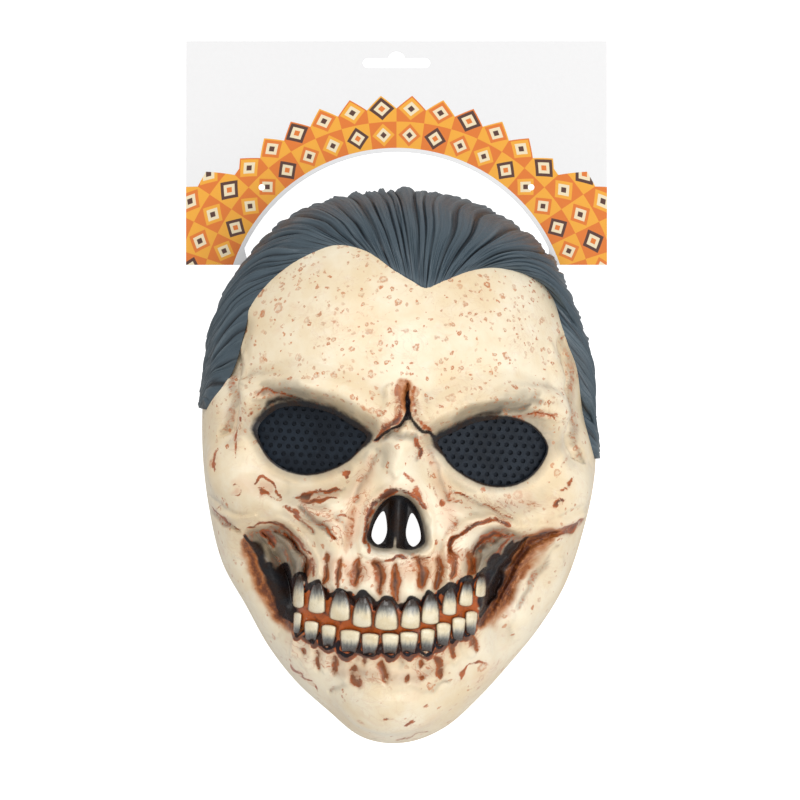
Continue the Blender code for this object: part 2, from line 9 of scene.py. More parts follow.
import bmesh
import bpy
import numpy as np
from bpy.props import FloatProperty, FloatVectorProperty, IntProperty, PointerProperty
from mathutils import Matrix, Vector


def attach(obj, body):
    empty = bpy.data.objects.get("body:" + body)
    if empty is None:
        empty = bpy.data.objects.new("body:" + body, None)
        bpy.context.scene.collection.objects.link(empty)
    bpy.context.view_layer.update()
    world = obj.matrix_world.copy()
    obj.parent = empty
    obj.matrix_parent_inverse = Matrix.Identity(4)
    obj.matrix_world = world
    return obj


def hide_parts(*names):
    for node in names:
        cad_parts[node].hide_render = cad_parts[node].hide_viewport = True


bl_info = {
    "name": "Skull mask on a header card",
    "version": (1, 0, 0),
    "blender": (4, 5, 0),
    "location": "3D View > Sidebar > Skull Mask",
    "description": "Builds the dressed pieces of a moulded skull mask on its header card",
    "category": "Add Mesh",
}

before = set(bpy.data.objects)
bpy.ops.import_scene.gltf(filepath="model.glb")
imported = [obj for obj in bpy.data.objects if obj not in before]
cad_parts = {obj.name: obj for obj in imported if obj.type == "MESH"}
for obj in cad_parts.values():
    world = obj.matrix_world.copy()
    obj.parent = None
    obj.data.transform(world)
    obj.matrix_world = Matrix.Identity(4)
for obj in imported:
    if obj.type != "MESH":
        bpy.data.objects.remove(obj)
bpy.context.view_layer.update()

# Mask shell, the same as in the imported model
MASK_WIDTH = 0.188
MASK_HEIGHT = 0.264
MASK_DEPTH = 0.090
SHELL_WALL = 0.0025
MASK_LEAN = math.radians(-3.6)
MASK_CENTRE = (0.0019, -0.0347)
DOME_FLATNESS = 2.2
DOME_SHOULDER = 0.40
RING_SPREAD = 0.95
SOCKET_DEPTH = 0.012
SOCKET_FALL = 0.015
SOCKET_SLOPE_X = 0.36
SOCKET_SLOPE_Y = 0.04
NOSE_DEPTH = 0.011
NOSE_FALL = 0.0035
SEPTUM_RISE = 0.006
SEPTUM_WIDTH = 0.004
HAIR_BUILD = 0.0059
MESH_LAP = 0.004
MESH_DROP = 0.0038
# Dark gauze behind the eye mesh: a black sheet that stands in for the shade inside the mask.
SHADE_GAUZE_DROP = 0.0048
CARD_FOOT = 0.720
CARD_CLEAR = 0.001
TIP_REACH = 0.004
ARCH_DROP = 0.0264
ARCH_RADIUS = 0.080
HALF_WIDTH = MASK_WIDTH / 2
HALF_HEIGHT = MASK_HEIGHT / 2
MM = 0.001
EYE_MIDDLE = (0.46, 0.07)
MESH_THICKNESS = 0.0008
SHADE_GAUZE_THICKNESS = 0.0004
THREAD_PITCH = 0.0006
FLOOR_LEVEL = -0.0004

# Printed band on the card: gap round the arch, size of a diamond, and the bearing where the corners begin
BAND_GAP = 0.002
DIAMOND_TALL = 0.0125
DIAMOND_WIDE = math.radians(8.0)
CORNER_BEARING = math.radians(46.0)

# Grids: points across, points down, and how much coarser the inner side is
FACE_GRID = (281, 321, 5)
HAIR_GRID = (1401, 57, 8)
TOOTH_GRID = (15, 19)
RIM_START = 0.995
BLUR_MARGIN = 24

# Outline seen from the front: bearing in degrees, reach as a share of the oval through the half sizes
OUTLINE = [
    (0, 0.98), (12, 0.99), (24, 1.03), (36, 1.03), (48, 1.05), (60, 1.03),
    (72, 1.01), (84, 1.00), (96, 1.00), (108, 1.02), (120, 1.06), (132, 1.09),
    (144, 1.11), (156, 1.10), (168, 1.04), (180, 1.00), (192, 0.97), (204, 0.95),
    (216, 0.91), (228, 0.91), (240, 0.92), (252, 0.94), (264, 0.99), (276, 1.00),
    (288, 0.98), (300, 0.94), (312, 0.92), (324, 0.93), (336, 0.95), (348, 0.96),
]

# Hairline: bearing in degrees, share of the way from the middle to the outline
HAIRLINE = [
    (4, 0.985), (10, 0.95), (17, 0.92), (26, 0.91), (34, 0.90), (41, 0.91),
    (47, 0.89), (53, 0.85), (61, 0.80), (68, 0.745), (76, 0.68), (84, 0.635),
    (90, 0.655), (98, 0.695), (108, 0.775), (116, 0.815), (125, 0.83), (133, 0.845),
    (140, 0.855), (146, 0.86), (153, 0.85), (159, 0.86), (165, 0.90), (171, 0.97),
]
HAIR_FADE = 12

# Combed lines of the hair: bearing where one ends at the rim, bearing where it leaves the hairline
COMBED = [
    (4, 4), (5.5, 13), (8, 24), (12, 34), (18, 43), (26, 51), (35, 59), (45, 66), (56, 72.5), (68, 78),
    (78, 82), (84, 84), (90, 86.5), (99, 91), (109, 98), (120, 105), (131, 112), (142, 119), (151, 126),
    (158, 134), (164, 143), (168, 153), (170, 163), (171, 171),
]

# Profile from chin to crown: height share, depth share
PROFILE = [(-1.1, 0.93), (-0.8, 0.97), (-0.4, 1.00), (0.0, 1.00), (0.35, 0.98), (0.7, 0.94), (1.1, 0.90)]

SIDES = {"middle": (1,), "both": (1, -1)}

# Rounded masses: x, y, reach along x, reach along y as shares of the half sizes, turn, rise share, place
MOUNDS = [
    (0.34, 0.5, 0.44, 0.3, 0, 0.022, "both"),
    (0.0, 0.19, 0.17, 0.18, 0, 0.035, "middle"),
    (0.0, -0.02, 0.13, 0.16, 0, 0.04, "middle"),
    (0.62, -0.36, 0.3, 0.17, -38, -0.155, "both"),
    (0.56, -0.5, 0.15, 0.2, 8, -0.09, "both"),
    (0.0, -0.5, 0.62, 0.34, 0, 0.08, "middle"),
    (0.02, -0.84, 0.36, 0.17, 0, 0.1, "middle"),
    (0.46, -0.74, 0.26, 0.17, 30, 0.03, "both"),
]

# Ridges and grooves: half width share, rise share, place, then the path's points as shares
RIDGES = [
    (0.13, 0.055, "both", [(0.13, 0.17), (0.3, 0.245), (0.52, 0.275), (0.76, 0.22)]),
    (0.15, 0.06, "both", [(0.95, -0.04), (0.76, -0.14), (0.54, -0.17), (0.38, -0.13)]),
    (0.08, 0.045, "both", [(0.5, -0.16), (0.36, -0.2), (0.29, -0.3), (0.28, -0.42)]),
    (0.09, -0.03, "both", [(0.84, 0.46), (0.87, 0.26), (0.84, 0.07)]),
]

# Openings seen from the front, on the right side: x, y as shares of the half sizes
EYE_OUTLINE = [
    (0.177, 0.100), (0.260, 0.136), (0.353, 0.170), (0.467, 0.187), (0.570, 0.186), (0.653, 0.161),
    (0.716, 0.102), (0.689, 0.039), (0.633, -0.009), (0.550, -0.039), (0.446, -0.045), (0.343, -0.022),
    (0.260, 0.014), (0.207, 0.058),
]
NOSE_OUTLINE = [
    (0.0, -0.085), (0.057, -0.098), (0.102, -0.130), (0.133, -0.171), (0.155, -0.227), (0.157, -0.267),
    (0.109, -0.294), (0.052, -0.300), (0.0, -0.296), (-0.052, -0.300), (-0.109, -0.294), (-0.157, -0.267),
    (-0.155, -0.227), (-0.133, -0.171), (-0.102, -0.130), (-0.057, -0.098),
]
NOSTRIL_OUTLINE = [
    (0.068, -0.160), (0.047, -0.220), (0.060, -0.262), (0.091, -0.276), (0.121, -0.248), (0.105, -0.195),
]

# Teeth from left to right: x, y of the middle, width share of the half width, height share of the half height
UPPER_TEETH = [
    (-0.462, -0.461, 0.055, 0.123), (-0.369, -0.479, 0.079, 0.112), (-0.253, -0.499, 0.094, 0.112),
    (-0.140, -0.516, 0.090, 0.112), (-0.021, -0.520, 0.107, 0.112), (0.096, -0.512, 0.090, 0.108),
    (0.193, -0.490, 0.082, 0.112), (0.284, -0.459, 0.066, 0.103), (0.362, -0.428, 0.063, 0.096),
    (0.433, -0.397, 0.051, 0.090),
]
LOWER_TEETH = [
    (-0.462, -0.577, 0.035, 0.086), (-0.390, -0.598, 0.062, 0.076), (-0.303, -0.608, 0.063, 0.080),
    (-0.195, -0.621, 0.086, 0.083), (-0.094, -0.625, 0.075, 0.078), (0.003, -0.619, 0.075, 0.076),
    (0.094, -0.610, 0.079, 0.076), (0.185, -0.599, 0.062, 0.084), (0.261, -0.575, 0.063, 0.084),
    (0.335, -0.554, 0.059, 0.085), (0.395, -0.532, 0.052, 0.088),
]

# Closed outlines of the hollows under the cheekbones, in millimetres from the mask's middle
HOLLOWS = [
    [(-71.2, -35.5), (-67, -32.9), (-61.9, -31.5), (-56.3, -29.7), (-50.2, -31.1), (-45.2, -35.9),
        (-40.6, -43), (-37.7, -51.1), (-41.2, -55.1), (-44.6, -61), (-45.1, -69.5), (-44.1, -78.9),
        (-49.5, -75.6), (-55.9, -69.5), (-60.7, -61.4), (-65, -52.4), (-68.8, -43.3)],
    [(74.2, -26.4), (66.7, -27.7), (57.7, -27.6), (50, -24.8), (42.6, -25.2), (37.4, -30.6),
        (33.7, -37.7), (31.9, -45.8), (35.3, -48.8), (41.2, -52.7), (42.6, -61.1), (41.5, -71.5),
        (46.9, -68.4), (51.6, -61.6), (55.2, -52.5), (58.3, -42.5), (64.3, -34.8), (71.6, -30.3)],
]

# Ribs that cross the hollows: half width in mm, height in mm, path in mm
RIBS = [
    (3.2, 4.5, [(-56.5, -34.4), (-50.1, -39.5), (-46.4, -46.2), (-44.6, -53.5)]),
    (1.9, 2, [(-47.6, -35.1), (-41.9, -43.5), (-39.5, -52.2)]),
    (2.8, 3.5, [(51.5, -26.1), (43.6, -33.9), (39.1, -42.1), (38.2, -50.1)]),
    (1.6, 1.6, [(57.4, -30.4), (50.9, -38.2), (46.4, -47.3), (44.1, -54.4)]),
]

# Fine ridges and grooves: half width in mm, height in mm, path in mm
FINE_RIDGES = [
    (1.6, -2.6, [(-51.9, -33.1), (-43.8, -43.2), (-40.8, -54.2)]),
    (2.8, -3, [(-64, -35.4), (-57.9, -42.4), (-52.7, -52.3), (-49.1, -65.1)]),
    (1.4, -2.4, [(47.9, -27.7), (40.7, -31.8), (36, -38.5), (34.8, -47.5)]),
    (2.8, -3, [(60.2, -30.3), (52.4, -40), (48.1, -51.9), (45.6, -63.8)]),
    (1.9, 1.2, [(-71.3, -32.8), (-62.5, -28.3), (-54.2, -26.7), (-45.9, -31.3), (-39.9, -38.7),
        (-36.1, -47.8), (-35.2, -55.6)]),
    (2.3, 1.6, [(47.4, -20.7), (39.9, -19.8), (32.7, -23), (26.7, -30.3), (24.5, -39.7), (24.6, -48.5)]),
    (1.2, -1.5, [(53.1, -21.8), (46.5, -21.2), (40.1, -22.5), (33.8, -25.7), (28.2, -32.5), (26, -41),
        (26.1, -49.8)]),
    (3.2, 2.2, [(-88.8, -20.3), (-81.9, -26.6), (-73, -29.1), (-64.6, -26.1)]),
    (3.7, 2.6, [(88, -13.8), (78.2, -20.7), (66.4, -23.5), (55.5, -23.1), (47.4, -19.8)]),
    (2.3, -2.5, [(-89.5, -26.5), (-82, -32.3), (-72.6, -34.7)]),
    (2.3, -2.5, [(89.5, -19.5), (79.5, -25.3), (70.5, -28.4)]),
    (1.4, -2.2, [(-48.2, -17.5), (-41.8, -15.7), (-35.3, -14.8), (-29.8, -13.5), (-24.4, -11.7)]),
    (1.9, 1.2, [(-45.3, -19.6), (-37, -18.1), (-27, -15.1)]),
    (2.1, -2.6, [(-45.3, -19.6), (-40.8, -24.4), (-34.9, -29.5), (-29.4, -36.1)]),
    (1.9, -1.6, [(-50.9, -19.5), (-46.4, -24.3), (-41.9, -28.6), (-37.9, -33.5)]),
    (2.8, 2, [(-45.8, -17.8), (-39.5, -21.5), (-32.8, -25.2), (-26.9, -30.9), (-24.5, -39)]),
    (1.4, -1.8, [(24.4, -9.6), (29.2, -11.1), (34.9, -14), (42.5, -16.4), (53.9, -19.9)]),
    (1.9, 1.3, [(30.3, -14.3), (37.9, -17.6), (46, -19.4)]),
    (1.9, 1, [(25.7, -6.7), (36.5, -10.2), (49.4, -14.6)]),
    (1.5, -3.2, [(-0.3, 38.3), (-0.3, 30.9), (0.1, 24.5)]),
    (1.6, -2.6, [(0.1, 24.5), (-2.3, 18.8), (-6.7, 14.8), (-13, 13)]),
    (1.6, -2.6, [(0.1, 24.5), (3.7, 19.6), (8.5, 15.8), (15.6, 13.9)]),
    (3.2, 1.6, [(-6.6, 36.1), (-7.1, 28.6), (-8.9, 21.1), (-15, 16.1)]),
    (3.2, 1.6, [(5.8, 36.8), (7.2, 29.5), (10.9, 22.4), (17.2, 17.7)]),
    (6.5, 1.8, [(0.1, 18), (-0.7, 7.8), (-0.9, -3.7)]),
    (1.4, -1.2, [(-10.2, 12.7), (-1.1, 15.2), (10, 14)]),
    (1.4, -1.2, [(4.3, 16.4), (7.1, 9.2), (8.4, 2.8)]),
    (2.8, -1.6, [(-8.1, 9.2), (-13.2, 1.5), (-17.3, -7.1), (-20.8, -16.6)]),
    (2.8, -1.4, [(11.2, 10.4), (16.2, 3.3), (19.1, -4.8), (21.9, -13.9)]),
    (2.1, 1.6, [(-0.6, -8.3), (-7.8, -11.1), (-13, -17), (-15.3, -24.5), (-16.7, -31.6), (-16.4, -36.2),
        (-12.4, -40.1), (-4.9, -41.9), (2, -42.4), (8.9, -41.5), (15.7, -39.3), (18.2, -34.9),
        (17.3, -28.5), (15, -20.3), (10.9, -14.6), (5.1, -9.8), (-0.6, -8.3)]),
    (1.2, -1.4, [(-8.9, -44.5), (-3.5, -43.2), (1.9, -40.6), (7.6, -42.5), (16.3, -42)]),
    (1.9, 1.5, [(-71.9, 27.8), (-66.2, 28.2), (-59.5, 27.7), (-52.8, 26.2), (-44.3, 24), (-35.7, 21.3)]),
    (1.2, -1.2, [(-70.1, 30.7), (-63.5, 31.1), (-55.9, 29.3), (-48.2, 27)]),
    (5.6, 2.2, [(-74.3, 34.7), (-64.8, 36.2), (-52.5, 35.1), (-40, 30.3), (-28.5, 24.5), (-18.9, 18.2)]),
    (1.6, 1.5, [(39, 23.7), (47.3, 25.1), (55.7, 26.6), (64.2, 26.1), (71.9, 24.3)]),
    (1.2, -1.2, [(44.4, 27.2), (53.7, 28.3), (63.1, 28.9), (70.7, 27.5), (73.8, 24.9)]),
    (5.6, 2.4, [(19.7, 21.1), (28.5, 29), (40.3, 33.5), (53.2, 37.1), (65.4, 36.9), (70.3, 34.4)]),
    (1.6, 1.3, [(-70.6, 9.3), (-66.4, 2.6), (-61.3, -3.1), (-53.5, -7.7), (-44.1, -8.9), (-34.5, -5.4),
        (-26, -1.2), (-19.9, 5.7)]),
    (1.6, 1.3, [(17.8, 8), (23.3, 1), (31, -4.1), (40, -6.8), (50.7, -6.6), (60.3, -2.4), (66, 3.9),
        (68.8, 12.9), (66.4, 21.2)]),
    (4.2, -3.2, [(-84.4, 54), (-82, 39.8), (-80.4, 25.9), (-81, 14.1), (-85.1, 8.2)]),
    (4.2, 1, [(-77.7, 48.5), (-75.8, 36.4), (-76.2, 21.5), (-77.4, 11.1)]),
    (4.2, -3, [(73, 66), (75.8, 49.7), (77.8, 31.2), (80.5, 17.3), (84, 8.1)]),
    (4.2, 1, [(67.4, 60.9), (70.7, 44.7), (72.7, 26.2)]),
    (3.7, 2, [(90.4, 12.1), (91.9, 5.6)]),
    (3.7, -1.5, [(76.5, -32), (68.9, -39.3), (63.6, -51.2), (59.7, -63.2)]),
    (7.4, 1.5, [(77.1, -39), (68.9, -58.2), (58.4, -77.5)]),
    (7.4, 1.5, [(-75.8, -48.7), (-66.1, -66.7), (-53.3, -84.6)]),
    (1.9, -2.5, [(-56.3, -54), (-52, -64.4), (-46.7, -75.3), (-41.7, -80.6)]),
    (2.3, -2.5, [(49, -44.8), (47.4, -55.2), (44.3, -64.8), (40.6, -72.5)]),
    (0.9, -0.7, [(-10.1, -128.8), (-3.4, -130.5), (6.1, -130.4), (13.5, -128.2), (21.9, -125.8)]),
    (4.2, -1.2, [(-26.2, -106.2), (-17.1, -102.5), (-0.7, -103.3), (15.6, -103.3), (29.4, -99.7)]),
]

# Strokes of paint, by paint: half width in mm, strength, path in mm. The olive strokes are painted shade
# above the eyes, by the nose, in the hollows, temples and under the mouth; the black strokes are black paint
# with painted shade under the brows, in the brow's furrow and in the hollows
STROKES = {
    "painted_shade": [
        (4.2, 1, [(-65, 25), (-57.6, 27.3), (-48.2, 27), (-39.7, 24.7), (-28.2, 19.5), (-16.7, 13.7)]),
        (3.7, 1, [(16.5, 14.4), (24.4, 20.5), (35.2, 26.2), (46.6, 29.7), (58.1, 32.3)]),
        (4.2, 0.3, [(-26.8, -95.6), (6, -98.1), (27, -92.1)]),
        (4.2, 0.5, [(-11.9, 9.9), (-6.1, 6.5), (-7.5, -0.9)]),
        (4.2, 0.7, [(1.9, 32.9), (2.7, 27.4)]),
        (2.8, 0.75, [(-7.5, 12.9), (-1.1, 14.2), (6.4, 13.3)]),
        (2.8, 0.8, [(-45.2, -20.5), (-40.7, -24.9), (-34.8, -30), (-30.3, -35.7)]),
        (5.6, 0.9, [(-61.6, -43.7), (-56.6, -49.8), (-51.5, -55.9)]),
        (6.5, 1, [(-55.2, -41.3), (-50, -49.3), (-47.5, -60.3)]),
        (3.2, 0.5, [(-48.6, -40.8), (-45.3, -48.9)]),
        (6.5, 0.75, [(-66.3, 30.5), (-53.2, 31.3), (-39.9, 27.5), (-28.4, 22.7), (-18.8, 16.8)]),
        (4.6, 0.6, [(-66.6, 34.2), (-55.2, 34), (-45.7, 31.8)]),
        (6, 0.7, [(19.9, 19.3), (30.5, 26.4), (42.3, 30.8), (54.3, 34.3), (65.6, 34.1)]),
        (4.2, 0.5, [(44.1, 32.8), (55.1, 36.3), (64.5, 36.9)]),
        (2.8, 0.5, [(-27.6, -5.5), (-20.6, 1), (-16.3, 6.8)]),
        (3.7, 0.35, [(19.9, 3.6), (25.9, -3.5), (35.5, -8.4)]),
        (3.7, 0.35, [(-84.7, 51.6), (-81.9, 38.9), (-80.9, 25.8), (-82.4, 12.7)]),
        (3.7, 0.45, [(74.2, 61.4), (76.4, 47.4), (78.9, 28.9), (82.1, 15.1)]),
        (2.3, 0.8, [(81.8, 11.8), (85.1, 7.2)]),
    ],
    "dark_paint_and_shade": [
        (4.2, 0.66, [(-67.6, 21.1), (-62.2, 25.2), (-53.9, 27.5), (-45.4, 26.7), (-36.9, 24),
            (-27.3, 19.1), (-16.7, 13.7)]),
        (3.7, 0.62, [(16.5, 14.4), (24.4, 20), (33.4, 24.7), (44.4, 28.2)]),
        (1.9, 1, [(0.3, 36.5), (0.2, 30.9), (0.1, 24.5), (0.4, 20.8)]),
        (1.6, 0.95, [(0, 26.3), (-2.4, 20.2), (-6.7, 15.7), (-13.9, 13)]),
        (1.6, 0.95, [(0, 26.3), (3.6, 21), (8, 16.7), (16.5, 14)]),
        (0.8, 0.8, [(-51.4, -34.4), (-45.8, -40.6), (-42.2, -46.8), (-40.4, -54.1)]),
        (3.7, 0.85, [(-70.2, -35.9), (-64.6, -42.5), (-59.3, -51), (-55.4, -61.9), (-49.6, -72.8)]),
        (7.9, 1, [(-52.3, -49.5), (-50.5, -57.7), (-48, -67.9), (-45.7, -76.2)]),
        (6.9, 1, [(-58.5, -48.1), (-55.6, -58.2), (-51.8, -68.2), (-47.1, -76.3)]),
        (2.3, 0.85, [(54, -28.8), (48.5, -36.5), (44.4, -45.1), (42.4, -50.8)]),
        (6.5, 1, [(52.8, -30.7), (49.2, -41.1), (46.8, -53.4), (44, -66.7)]),
        (6, 1, [(45.7, -36.6), (44.6, -47.9), (43.9, -59.1), (42.8, -69.5)]),
        (3.2, 0.8, [(62, -28.4), (55.3, -32.9), (51.5, -40.1)]),
        (1.9, 0.6, [(72.3, -27), (64.4, -28.7), (58.3, -29.5)]),
    ],
    "stain": [
        (7.9, 0.3, [(-33.4, -46.2), (-15.6, -48.7), (2.9, -48.4), (21.2, -45.4), (32.8, -39.2)]),
        (6, 0.85, [(-0.4, 40.2), (-0.1, 35.5), (-0.2, 30), (-0.3, 23.5)]),
        (6.5, 0.95, [(-70.5, -38.8), (-66.2, -47.8), (-62.3, -56.9), (-58, -66.9), (-51.4, -75.3),
            (-42.1, -82.1)]),
        (7.9, 1, [(76.1, -25.9), (65.9, -30.5), (57.4, -37.4), (54, -48.4), (51, -59.8), (46.4, -68.4),
            (39.8, -74.4)]),
        (6.5, 0.8, [(74.4, -28.8), (65.2, -33.8), (60.9, -40.6), (58.3, -50)]),
        (4.2, 0.42, [(-21.2, -18), (-22.3, -30.6), (-22.5, -42.6)]),
    ],
    "pink": [
        (7.4, 0.45, [(-34.4, -45.3), (2.8, -47.5), (32.8, -39.2)]),
        (6.5, 0.4, [(-31.6, -93.1), (1.3, -97.4), (28.7, -90.1)]),
        (6.9, 0.55, [(-13.4, 4.7), (-19, -16.5), (-20.9, -37.4)]),
        (6, 0.55, [(12.4, 6.3), (21.9, -13.9), (25.9, -32.2)]),
        (5.6, 0.4, [(-45.3, -18.2), (-30.9, -26.5), (-25.6, -37.7)]),
        (5.6, 0.4, [(46.9, -12.4), (65.7, -13.7)]),
        (5.6, 0.35, [(-77.9, -11.3), (-63.4, -13.9)]),
        (4.6, 0.4, [(-66.3, 30.5), (-55.4, 29.3)]),
        (1.9, 0.8, [(-43.5, -17.6), (-36.1, -16.7), (-27, -14.2)]),
        (2.3, 0.5, [(-34.6, -26.7), (-29.1, -33.3)]),
        (3.7, 0.7, [(-65.3, -13.6), (-58.7, -14.5)]),
        (3.7, 0.8, [(-76.7, -14.5), (-75.6, -16.7)]),
        (2.3, 0.8, [(-71, 29.7), (-64.4, 30.6), (-57.7, 29.2)]),
        (1.9, 0.9, [(49.1, 26.6), (58.4, 27.6), (67, 26.8)]),
        (4.6, 0.35, [(-21.3, -16.6), (-18.9, -25.7), (-21.1, -35.1)]),
        (3.7, 0.3, [(-28.5, -34.7), (-25.4, -41)]),
        (6.5, 0.3, [(-48.1, -84), (-38.1, -94.6)]),
        (6.5, 0.25, [(41.8, -102.2), (52.1, -88.3)]),
        (6.5, 0.25, [(33, -13.2), (19.8, -23.3)]),
    ],
    "rust": [
        (2.8, 0.9, [(-3, 37.2), (-3.4, 29.8), (-4.4, 23.3), (-7.7, 17.5), (-13, 13)]),
        (2.3, 0.75, [(2.9, 38.5), (3.4, 31.1), (4.3, 24.7), (8.3, 19.5), (14.6, 14.8)]),
        (1.6, 0.9, [(5, 13.7), (7.6, 9.2), (9.2, 4.7)]),
        (1.9, 0.65, [(3.6, -1.2), (6.6, -5.6), (9.7, -10.9), (11.9, -15.9)]),
        (1, 0.7, [(10, -0.8), (14.1, -6), (17.3, -12.8)]),
        (1.6, 0.8, [(19.1, -12.7), (20.8, -17.6)]),
        (1.1, 0.6, [(23.8, -6.8), (22.3, -12.5), (26.6, -15)]),
        (1.2, 0.95, [(-47.3, -17.4), (-41.8, -15.7), (-36.3, -13.9), (-30.3, -13), (-24.9, -11.3)]),
        (2.5, 0.95, [(-45.4, -16.8), (-39.9, -15.1)]),
        (1.1, 0.9, [(-44.4, -18.6), (-36.1, -17.6), (-27.8, -15.6)]),
        (2.3, 0.85, [(-51.8, -19.6), (-46.9, -23), (-44.8, -26.5)]),
        (1.7, 0.75, [(-46.9, -23.9), (-42.4, -28.2), (-38.4, -33)]),
        (1.1, 0.8, [(-36.4, -27.8), (-32.4, -32.2), (-28.9, -36.6)]),
        (1.2, 0.7, [(-28.8, -23.1), (-24.1, -24.2), (-20.7, -26.7)]),
        (1.6, 0.9, [(-24.8, -5.7), (-25.1, -7.1)]),
        (1.3, 0.8, [(-25.7, -4.9), (-24.4, -3.9)]),
        (1.2, 0.95, [(-67.3, -12.4), (-63.2, -10.7), (-58.3, -12.6), (-53.4, -16.9)]),
        (1.1, 0.9, [(-66.7, -14.2), (-61.9, -16.1), (-56.6, -17.2)]),
        (0.8, 0.8, [(-78.7, -13.7), (-76.4, -12.1), (-73.9, -14.3), (-75.1, -17.6), (-78, -16.9)]),
        (0.9, 0.7, [(-78.1, 14.3), (-77, 5.1), (-76, -2.8)]),
        (1.1, 0.7, [(-85.2, 2.6), (-86.8, -3.6), (-86.9, -9.3)]),
        (1.1, 0.8, [(-76.1, 19.2), (-75.3, 15)]),
        (1, 0.5, [(-82.2, -21), (-84.3, -26.9), (-85.5, -32.7)]),
        (1, 0.9, [(-88, -24.5), (-83.2, -29.6), (-77.6, -32.8), (-69.9, -33.1)]),
        (1.3, 1, [(-69.9, -32.6), (-64.3, -30.3), (-58.3, -28.9), (-52.1, -29.8), (-47.2, -34.1),
            (-42.6, -39.9), (-39, -46.6), (-37.6, -53.5)]),
        (1, 0.9, [(-63.6, -34), (-57.9, -34.5)]),
        (3.9, 1, [(-63.1, -34.9), (-59.2, -37.4), (-57.5, -41)]),
        (1, 1, [(-51.9, -33.6), (-46.9, -38.8), (-42.8, -45), (-40.4, -52.7)]),
        (3.7, 0.66, [(-70.1, -37.8), (-66.3, -45.9), (-62.4, -55.9), (-57.5, -66.8), (-51.4, -74.8),
            (-42.6, -80.7)]),
        (0.9, 0.9, [(88.4, -18.5), (82.2, -22.9), (75.1, -25.5), (66.7, -27.2), (57.7, -27.6),
            (52.4, -25.6)]),
        (1.9, 1, [(54, -21.8), (47.5, -21.2), (40.5, -22), (34.2, -25.2), (28.7, -32), (26.4, -40.5),
            (26.6, -49.8)]),
        (1.9, 1, [(51.6, -27), (43.3, -28.4), (37.6, -33.8), (34.3, -41), (34, -49.4)]),
        (1.4, 0.9, [(50.7, -28.5), (46.9, -33.8), (44.1, -40.4)]),
        (4.2, 0.66, [(70.6, -29.8), (61.4, -34), (56.3, -40.8), (53.5, -49.3), (50.5, -59.8),
            (45.1, -69.4), (40.7, -74.4)]),
        (1.9, 0.8, [(87, -20.4), (79, -25.8), (71.6, -29.8)]),
        (1.5, 0.9, [(24.5, -10), (28.7, -10.7), (32.1, -12.8)]),
        (1, 0.75, [(31.1, -12.4), (37.8, -14.8), (45.3, -16.2), (53.9, -19.5)]),
        (0.8, 0.6, [(35.6, -10.8), (42.3, -13.6), (50.9, -15.9)]),
        (2.8, 0.9, [(71.5, -14.9), (76.6, -11.4)]),
        (1.4, 0.7, [(73.4, -7.3), (77.5, -4.3), (79.2, -0.5)]),
        (1, 0.5, [(74.2, 3), (76.6, 10.1)]),
        (0.9, 0.7, [(-71.7, 25.5), (-70, 29.3), (-64.5, 32), (-56.9, 30.1), (-50.1, 27.8)]),
        (1.5, 0.7, [(-71.5, 22.7), (-73.1, 17.9)]),
        (0.8, 0.9, [(50, 27.1), (59.3, 28.6), (67.9, 27.8), (72.8, 24.3)]),
        (2.1, 0.6, [(-49.9, 24.6), (-43.3, 23.1), (-33.8, 20.5)]),
        (2.8, 1, [(-15, -36.1), (-14.6, -27.3), (-12.4, -19.3), (-7.2, -12.9), (-1, -9.8), (5.1, -10.8)]),
        (1.9, 0.9, [(4.6, -10.3), (9.9, -13.7), (14, -19.5)]),
        (1.2, 0.8, [(-13.7, -35.1), (-10.7, -39.1)]),
        (1.1, 1, [(-7.1, -43.9), (-3.5, -43.2), (-0.8, -41.7), (1.9, -39.6), (4.7, -41.3), (7.6, -42.5),
            (12.2, -42.7), (17.2, -41)]),
        (1.2, 0.6, [(19, -40), (19.4, -32.5)]),
        (2.3, 0.55, [(-21.2, -18.9), (-21.4, -30.5), (-20.7, -40.6)]),
        (1.4, 0.6, [(19.2, -42.8), (18.4, -44.7)]),
        (1.2, 0.6, [(25.4, -39.6), (24.9, -46.1)]),
        (0.9, 0.6, [(-9.6, -129.3), (-2.4, -130.4), (6.1, -129.7), (13.5, -128.2), (20.9, -125.8)]),
        (1.4, 0.7, [(36.3, -91.7), (34.9, -98.5)]),
        (1, 0.7, [(36.3, -91.7), (42.8, -90.5), (48.5, -91.3)]),
        (1.2, 0.8, [(-45.1, -97.3), (-43.6, -99.1), (-39.2, -100.6), (-35.9, -101.7)]),
        (1, 0.7, [(-34.8, -105), (-32.2, -108.2)]),
        (1.7, 0.8, [(-2.1, -118.6), (3.6, -119.7)]),
        (1.4, 0.8, [(9.4, -122.4), (14.9, -120.1)]),
        (1.1, 0.7, [(16.2, -111.5), (18.8, -109.4)]),
    ],
}

# Way that the roots point down in the mask's own frame
ROOT_DOWN = np.array([-math.sin(MASK_LEAN), -math.cos(MASK_LEAN)])

# Rust of each upper root: half width, upper end and lower end, in mm
UPPER_ROOTS = [
    (2.5, (-40.4, -46.2), (-40.4, -53.7)),
    (2.5, (-32.2, -42.4), (-31, -54.9)),
    (2.5, (-25.1, -45.1), (-24.5, -55.8)),
    (3.6, (-15.9, -43.6), (-16.6, -55.7)),
    (4.4, (-8.1, -43.1), (-5.8, -57.8)),
    (3.6, (0.7, -43.4), (2.2, -60.1)),
    (4, (10.8, -41.9), (13.9, -54.7)),
    (3, (21, -42.2), (21.7, -54.2)),
    (2.1, (26.8, -39.1), (27.6, -51.1)),
    (3, (33.3, -38.7), (35.2, -47.9)),
]

